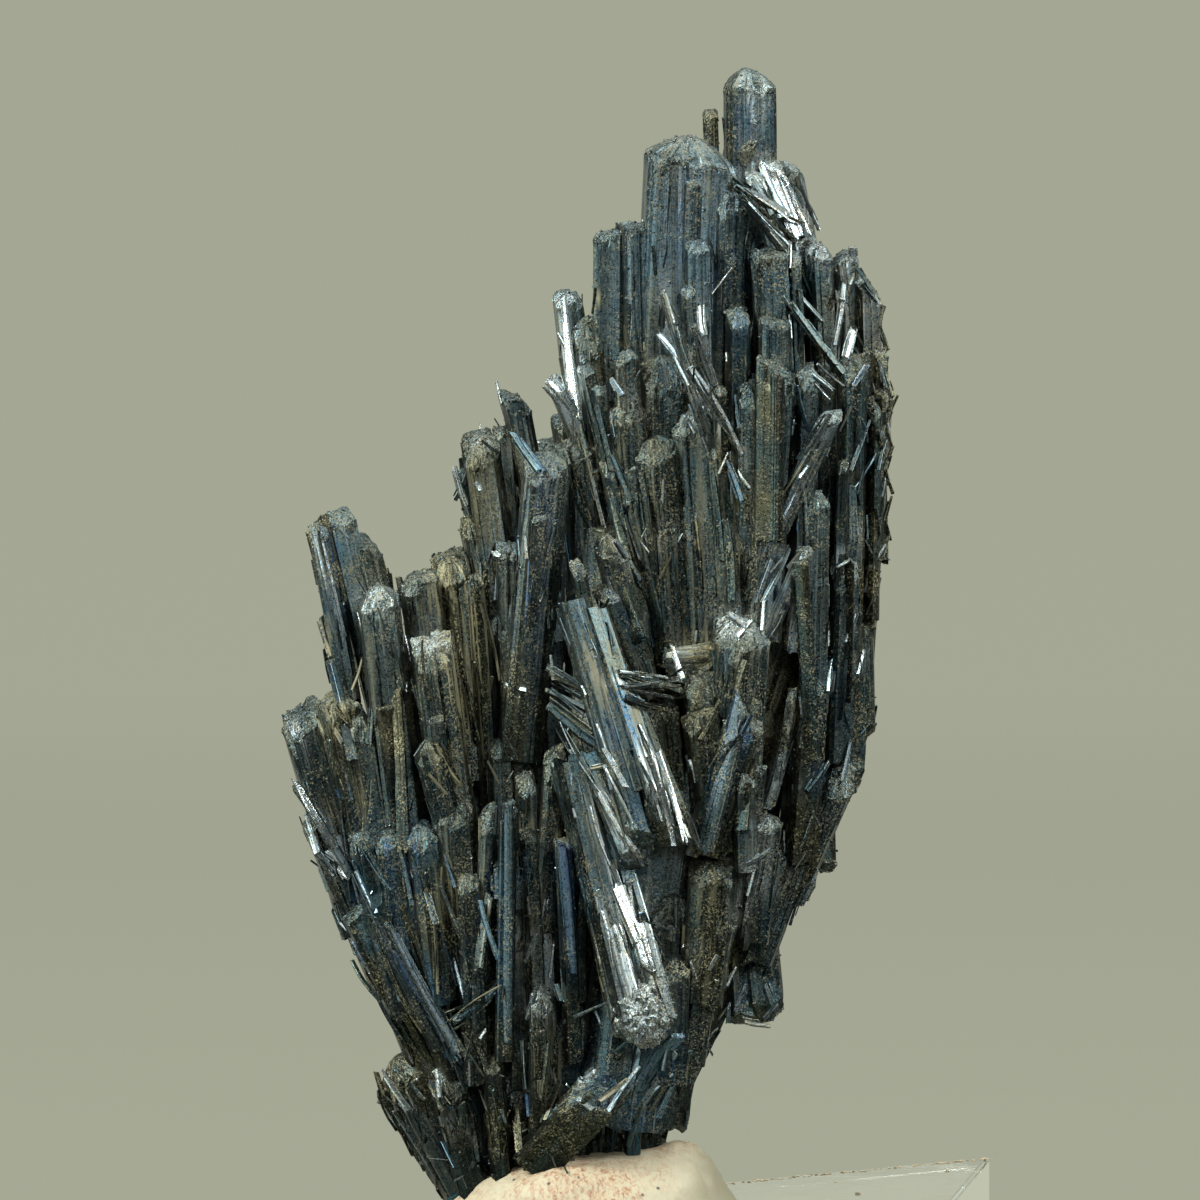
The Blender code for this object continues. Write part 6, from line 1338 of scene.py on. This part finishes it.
    (3.4, -10.7, 22.2, 3.5, -10.8, 23.7, 0.6, 3, "X"),
    (-2.2, -14.5, 22.7, -0.7, -14.8, 21.6, 0.9, 12, "X"),
    (-1.5, -14.3, 24.7, -0.4, -13.8, 25.5, 0.7, -7, "C"),
    (0, -15.2, 22.4, 2.7, -13.7, 24.6, 0.6, 7, "G"),
    (4.5, -10.4, 22.4, 7.3, -11.9, 25.1, 0.4, -38, "X"),
    (2.9, -10.9, 21.9, 3.4, -8.9, 17.3, 0.5, -31, "T"),
    (-16, -10.5, 22.8, -16.3, -9.7, 25.6, 0.5, 7, "C"),
    (-14.2, -9.2, 19.4, -15.3, -9.6, 20.8, 0.6, 41, "C"),
    (-12.1, -7.7, 18.2, -13, -8.7, 19.8, 0.7, 12, "C"),
    (-17.5, -6.9, 22.5, -20.5, -6, 26, 0.6, -25, "T"),
    (-19, -6.7, 21.5, -21.8, -4.7, 25.5, 0.6, 14, "H"),
    (-14.8, -9.9, 21.5, -17, -9.7, 24.5, 0.5, -26, "T"), (9, -1.9, 24.5, 8, -1.2, 21.5, 0.5, 37, "B"),
    (-10, -11, 19.5, -11, -11.7, 24, 0.6, -29, "D"), (-4, -13.7, 19.5, -1, -15, 23, 0.7, 0, "D"),
    (-5.5, -12.3, 20.5, -4, -10.5, 24.5, 0.6, -37, "D"),
    (0, -6.9, 17.5, 0.4, -8.8, 21.5, 0.5, -34, "T"), (1.2, -7.2, 18, 1.8, -8.9, 21.5, 0.4, -35, "B"),
    (-13, -6.6, 22.5, -14, -7.9, 25, 0.4, -3, "H"),
    (-19.5, -2.3, 18.5, -21.2, -3.8, 22.5, 0.5, -26, "D"),
    (5.5, -9.9, 20.1, 9, -10.5, 27.5, 1, 36, "B"), (3.6, -9, 19.1, 6.8, -11.9, 24.5, 0.8, 34, "T"),
    (1.6, -8.8, 19.7, 5.2, -12.2, 26.1, 0.8, 35, "B"),
    (6.8, -1.7, 19.5, 8.8, -4.6, 25.3, 0.9, 37, "K"),
    (8.4, -0.6, 19.9, 9.3, -1.5, 24.3, 0.6, -36, "T"),
    (-0.2, -12.8, 19.7, 3, -12.1, 23.3, 0.7, 32, "K"), (5, -5.4, 18.5, 5.6, -7.3, 22.5, 0.8, -35, "K"),
    (2.8, -9.8, 17.9, 4.2, -11.5, 22.1, 0.7, -37, "T"),
    (6.4, -4.4, 18.7, 7.2, -6.4, 22.9, 0.7, -35, "K"),
    (4, -10.5, 21.7, 7.6, -12.2, 27.3, 0.7, -3, "X"), (0.4, -14, 20.5, 4, -12.3, 25.9, 0.6, -3, "X"),
    (-18, -2.5, 16.5, -20.4, -3.8, 21.3, 0.9, -26, "K"),
    (-16, -4.9, 15.3, -18, -5.7, 20.3, 0.8, -27, "D"),
    (-14.4, -8.1, 15.7, -15.4, -9.4, 20.7, 0.8, -29, "K"),
    (-12.2, -8.6, 16.5, -13, -8.3, 21.3, 0.8, -30, "K"),
    (-19.6, -2.8, 19.1, -22, -3.9, 23.9, 0.9, -26, "K"),
    (-20.8, -3.4, 21.3, -22.4, -4.3, 25.3, 0.8, -27, "D"),
    (-17, -5.8, 19.5, -19, -6.4, 23.7, 0.8, -27, "K"),
    (-10.2, -10.4, 16.9, -10.8, -11.2, 21.5, 0.8, -30, "D"),
    (-8, -11.5, 17.5, -8.4, -9.5, 22.1, 0.8, -4, "K"),
    (-15.4, -10.6, 22.1, -17.6, -8.7, 25.9, 0.8, 34, "K"),
)
dice = np.random.default_rng(19)
loose_rows, loose_finishes = [], []
for *low, end_x, end_y, end_z, width, turn, finish in LOOSE_BLADES:
    run = np.array((end_x, end_y, end_z)) - low
    sideways = np.array((run[2], 0.0, -run[0])) / np.linalg.norm(run)
    # Each one is a bundle: the blade that is named, and thinner ones that stuck to its edges.
    for place in (0.0, -1.0, 1.0)[:1 + dice.integers(1, 3) * (width < 1.2)]:
        wide = width * ((0.8 if width < 1.2 else 1.0) if place == 0.0 else dice.uniform(0.25, 0.5))
        start = 0.0 if place == 0.0 else dice.uniform(-0.15, 0.4)
        stop = 1.0 if place == 0.0 else dice.uniform(0.55, 1.1)
        beside = sideways * place * dice.uniform(0.3, 0.6) * width + (0.0, 0.12 + 0.1 * abs(place), 0.0)
        skew = sideways * place * dice.normal(0, 0.12) * width
        loose_rows.append((*(low + run * start + beside), *(low + run * stop + beside + skew),
                           wide, max(0.22, 0.4 * wide), turn + 12 * place + dice.normal(0, 4),
                           dice.normal(0, 0.6) * wide, 0.0))
        share = 1.0 if place == 0.0 else dice.uniform(0.2, 0.9)
        loose_finishes.append([amount * share for amount in FINISHES[finish]])
loose = grow("loose_blades", loose_rows, 20, fine=0.12, rise=0.8, blades=False,
             finishes=loose_finishes)


# ---- The knob: a round crust of tiny bright crystals on the end of the big front crystal ----
# Grown in curved ridges over the broken end, silvery with a little gold, and fixed to it.
knob_work = bmesh.new()
bmesh.ops.create_icosphere(knob_work, subdivisions=5, radius=1.0)
knob_centre = seen(4.1, -15.2, 31.3)
for vert in knob_work.verts:
    spot = Vector(vert.co)
    bands = abs(math.sin(5.2 * spot.z + 2.6 * spot.x + 2.4 * noise.noise(spot * 1.3)))
    bulge = 1.0 + 0.10 * bands + 0.16 * noise.noise(spot * 2.2) + 0.09 * noise.noise(spot * 7.0)
    bulge += 0.05 * noise.cell(spot * 9.0)
    x, y, z = spot.x * 2.55 * bulge, spot.y * 2.4 * bulge, spot.z * 3.1 * bulge
    vert.co = ((knob_centre[0] + x - 0.18 * z) * MM, (knob_centre[1] + y) * MM,
               (knob_centre[2] + z) * MM)
bmesh.ops.recalc_face_normals(knob_work, faces=knob_work.faces[:])
mesh = bpy.data.meshes.new("end_knob")
knob_work.to_mesh(mesh)
knob_work.free()
growth_map = mesh.uv_layers.new(name="growth")
for loop in mesh.loops:
    spot = mesh.vertices[loop.vertex_index].co
    growth_map.uv[loop.index].vector = (spot.x + spot.y, spot.z)
for label, value in (("tip", 0.8), ("tone", 0.7), ("clean", 0.35), ("blue", 0.1), ("ochre", 0.15),
                     ("dusty", 0.0), ("druse", 0.75)):
    layer = mesh.attributes.new(label, "FLOAT", "POINT")
    layer.data.foreach_set("value", np.full(len(mesh.vertices), value, np.float32))
knob = linked("end_knob", mesh)
mesh.materials.append(stibnite)
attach(knob, "root")
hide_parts("stibnite_cluster")


# ---- What grew last: loose slivers lying over the blades, and the sparkling crust on the tips ----
# Thin six-sided splinters scattered over every crystal, rooted in it and splayed from the way it
# grows. The crust is the same in small: stubby grains crowded on the broken ends.
def scatter_tree():
    """Grows tapered six-sided prisms out of a surface, away from the foot of the cluster."""
    tree = bpy.data.node_groups.new("grow_on_surface", "GeometryNodeTree")
    face = tree.interface
    face.new_socket("Geometry", in_out="INPUT", socket_type="NodeSocketGeometry")
    for name, value in (("Density", 50000.0), ("Least Tip", -1.0), ("Shortest", 0.001),
                        ("Longest", 0.004), ("Width", 0.0004), ("Flatness", 0.5), ("Splay", 0.5),
                        ("Rise", 0.2), ("Most Tip", 2.0), ("Dullest", -1.0), ("Cleanest", 1.0)):
        socket = face.new_socket(name, in_out="INPUT", socket_type="NodeSocketFloat")
        socket.default_value = value
    face.new_socket("Seed", in_out="INPUT", socket_type="NodeSocketInt").default_value = 1
    face.new_socket("Material", in_out="INPUT", socket_type="NodeSocketMaterial")
    face.new_socket("Geometry", in_out="OUTPUT", socket_type="NodeSocketGeometry")
    made, wire = tree.nodes, tree.links
    given = made.new("NodeGroupInput").outputs
    tip = made.new("GeometryNodeInputNamedAttribute")
    tip.data_type = "FLOAT"
    tip.inputs["Name"].default_value = "tip"
    there = made.new("FunctionNodeCompare")
    there.data_type, there.operation = "FLOAT", "GREATER_THAN"
    wire.new(tip.outputs["Attribute"], there.inputs[0])
    wire.new(given["Least Tip"], there.inputs[1])
    low = made.new("FunctionNodeCompare")
    low.data_type, low.operation = "FLOAT", "LESS_THAN"
    wire.new(tip.outputs["Attribute"], low.inputs[0])
    wire.new(given["Most Tip"], low.inputs[1])
    both = made.new("FunctionNodeBooleanMath")
    both.operation = "AND"
    wire.new(there.outputs["Result"], both.inputs[0])
    wire.new(low.outputs["Result"], both.inputs[1])
    sown = made.new("GeometryNodeDistributePointsOnFaces")
    wire.new(given["Geometry"], sown.inputs["Mesh"])
    wire.new(both.outputs["Boolean"], sown.inputs["Selection"])
    wire.new(given["Density"], sown.inputs["Density"])
    wire.new(given["Seed"], sown.inputs["Seed"])

    def dice_value(kind, low, high, seed):
        node = made.new("FunctionNodeRandomValue")
        node.data_type = kind
        sockets = [s for s in node.inputs if s.enabled]
        for socket, value in zip(sockets, (low, high)):
            if hasattr(value, "is_linked"):
                wire.new(value, socket)
            else:
                socket.default_value = value
        sockets[-1].default_value = seed
        return next(s for s in node.outputs if s.enabled)

    def vector(how, first, second=None, scale=None):
        node = made.new("ShaderNodeVectorMath")
        node.operation = how
        for socket, value in ((node.inputs[0], first), (node.inputs[1], second)):
            if isinstance(value, tuple):
                socket.default_value = value
            elif value is not None:
                wire.new(value, socket)
        if scale is not None:
            wire.new(scale, node.inputs["Scale"])
        return node.outputs["Vector"]

    here = made.new("GeometryNodeInputPosition")
    away = vector("NORMALIZE", vector("SUBTRACT", here.outputs["Position"], (-0.002, 0.0, -0.045)))
    turn = vector("SCALE", dice_value("FLOAT_VECTOR", (-1.0,) * 3, (1.0,) * 3, 3),
                  scale=given["Splay"])
    lean = vector("ADD", away, turn)
    # A sliver lies along the face that it grew on, and rises from it only a little.
    out = sown.outputs["Normal"]
    height = made.new("ShaderNodeVectorMath")
    height.operation = "DOT_PRODUCT"
    wire.new(lean, height.inputs[0])
    wire.new(out, height.inputs[1])
    above = made.new("ShaderNodeMath")
    above.operation = "MULTIPLY_ADD"
    wire.new(height.outputs["Value"], above.inputs[0])
    above.inputs[1].default_value = -1.0
    wire.new(given["Rise"], above.inputs[2])
    lean = vector("ADD", lean, vector("SCALE", out, scale=above.outputs["Value"]))
    point_up = made.new("FunctionNodeAlignRotationToVector")
    point_up.axis = "Z"
    wire.new(lean, point_up.inputs["Vector"])
    spin = made.new("FunctionNodeAxisAngleToRotation")
    spin.inputs["Axis"].default_value = (0.0, 0.0, 1.0)
    wire.new(dice_value("FLOAT", 0.0, 2 * math.pi, 4), spin.inputs["Angle"])
    turned = made.new("FunctionNodeRotateRotation")
    turned.rotation_space = "LOCAL"
    wire.new(point_up.outputs["Rotation"], turned.inputs["Rotation"])
    wire.new(spin.outputs["Rotation"], turned.inputs["Rotate By"])

    prism = made.new("GeometryNodeMeshCone")
    prism.inputs["Vertices"].default_value = 6
    prism.inputs["Radius Top"].default_value = 0.36
    prism.inputs["Radius Bottom"].default_value = 0.5
    prism.inputs["Depth"].default_value = 1.0
    rooted = made.new("GeometryNodeTransform")
    rooted.inputs["Translation"].default_value = (0.0, 0.0, -0.30)
    wire.new(prism.outputs["Mesh"], rooted.inputs["Geometry"])
    wide = made.new("ShaderNodeMath")
    wide.operation = "MULTIPLY"
    wire.new(given["Width"], wide.inputs[0])
    wire.new(dice_value("FLOAT", 0.4, 1.2, 5), wide.inputs[1])
    flat = made.new("ShaderNodeMath")
    flat.operation = "MULTIPLY"
    wire.new(wide.outputs["Value"], flat.inputs[0])
    wire.new(given["Flatness"], flat.inputs[1])
    size = made.new("ShaderNodeCombineXYZ")
    wire.new(wide.outputs["Value"], size.inputs["X"])
    wire.new(flat.outputs["Value"], size.inputs["Y"])
    wire.new(dice_value("FLOAT", given["Shortest"], given["Longest"], 6), size.inputs["Z"])
    placed = made.new("GeometryNodeInstanceOnPoints")
    wire.new(sown.outputs["Points"], placed.inputs["Points"])
    wire.new(rooted.outputs["Geometry"], placed.inputs["Instance"])
    wire.new(turned.outputs["Rotation"], placed.inputs["Rotation"])
    wire.new(size.outputs["Vector"], placed.inputs["Scale"])
    shape = placed.outputs["Instances"]
    for label, low, high, seed in (("clean", given["Dullest"], given["Cleanest"], 7), ("tone", 0.0, 1.0, 8),
                                   ("dusty", -0.8, 0.9, 9), ("blue", -0.8, 0.7, 10)):
        mark = made.new("GeometryNodeStoreNamedAttribute")
        mark.domain, mark.data_type = "INSTANCE", "FLOAT"
        mark.inputs["Name"].default_value = label
        wire.new(shape, mark.inputs["Geometry"])
        wire.new(dice_value("FLOAT", low, high, seed), mark.inputs["Value"])
        shape = mark.outputs["Geometry"]
    real = made.new("GeometryNodeRealizeInstances")
    wire.new(shape, real.inputs["Geometry"])
    dressed = made.new("GeometryNodeSetMaterial")
    wire.new(real.outputs["Geometry"], dressed.inputs["Geometry"])
    wire.new(given["Material"], dressed.inputs["Material"])
    wire.new(dressed.outputs["Geometry"], made.new("NodeGroupOutput").inputs["Geometry"])
    return tree


growing = scatter_tree()


def scattered(name, ground, **sizes):
    """One piece of slivers or grains grown on another piece."""
    seedbed = linked(name + "_seedbed", ground.data)
    grower = seedbed.modifiers.new("grow", "NODES")
    grower.node_group = growing
    for socket in growing.interface.items_tree:
        if socket.in_out == "INPUT" and socket.name in sizes:
            grower[socket.identifier] = sizes[socket.name]
        elif socket.name == "Material":
            grower[socket.identifier] = stibnite
    bpy.context.view_layer.update()
    graph = bpy.context.evaluated_depsgraph_get()
    mesh = bpy.data.meshes.new_from_object(seedbed.evaluated_get(graph))
    seedbed.modifiers.remove(grower)
    bpy.data.objects.remove(seedbed)
    mesh.name = name
    mesh.shade_flat()
    obj = linked(name, mesh)
    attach(obj, "root")
    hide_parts("stibnite_cluster")
    return obj


for zone, seed, density, splay in ((summit, 8, 45000.0, 0.2), (right_flank, 2, 120000.0, 0.6),
                                  (centre, 3, 80000.0, 0.4), (left_steps, 4, 95000.0, 0.55),
                                  (front, 5, 60000.0, 0.3), (foot, 6, 230000.0, 1.1),
                                  (far_side, 7, 60000.0, 0.5)):
    scattered(zone.name.replace("crystals", "slivers"), zone, Density=density, Seed=seed,
              Shortest=0.0008, Longest=0.0032, Width=0.00045, Flatness=0.35, Splay=splay,
              Rise=0.06, **{"Least Tip": -1.0, "Most Tip": 0.25})
    scattered(zone.name.replace("crystals", "crust"), zone, Density=700000.0,
              Shortest=0.00014, Longest=0.00040, Width=0.00036, Flatness=0.8, Splay=0.9,
              Rise=0.30, Seed=seed + 20, Dullest=-1.5, Cleanest=0.5,
              **{"Least Tip": 0.70, "Most Tip": 2.0})
    scattered(zone.name.replace("crystals", "crumbs"), zone, Density=120000.0, Seed=seed + 40,
              Shortest=0.00012, Longest=0.00034, Width=0.00026, Flatness=0.8, Splay=1.5, Rise=0.5,
              Dullest=-2.0, Cleanest=0.9, **{"Least Tip": -1.0, "Most Tip": 0.5})
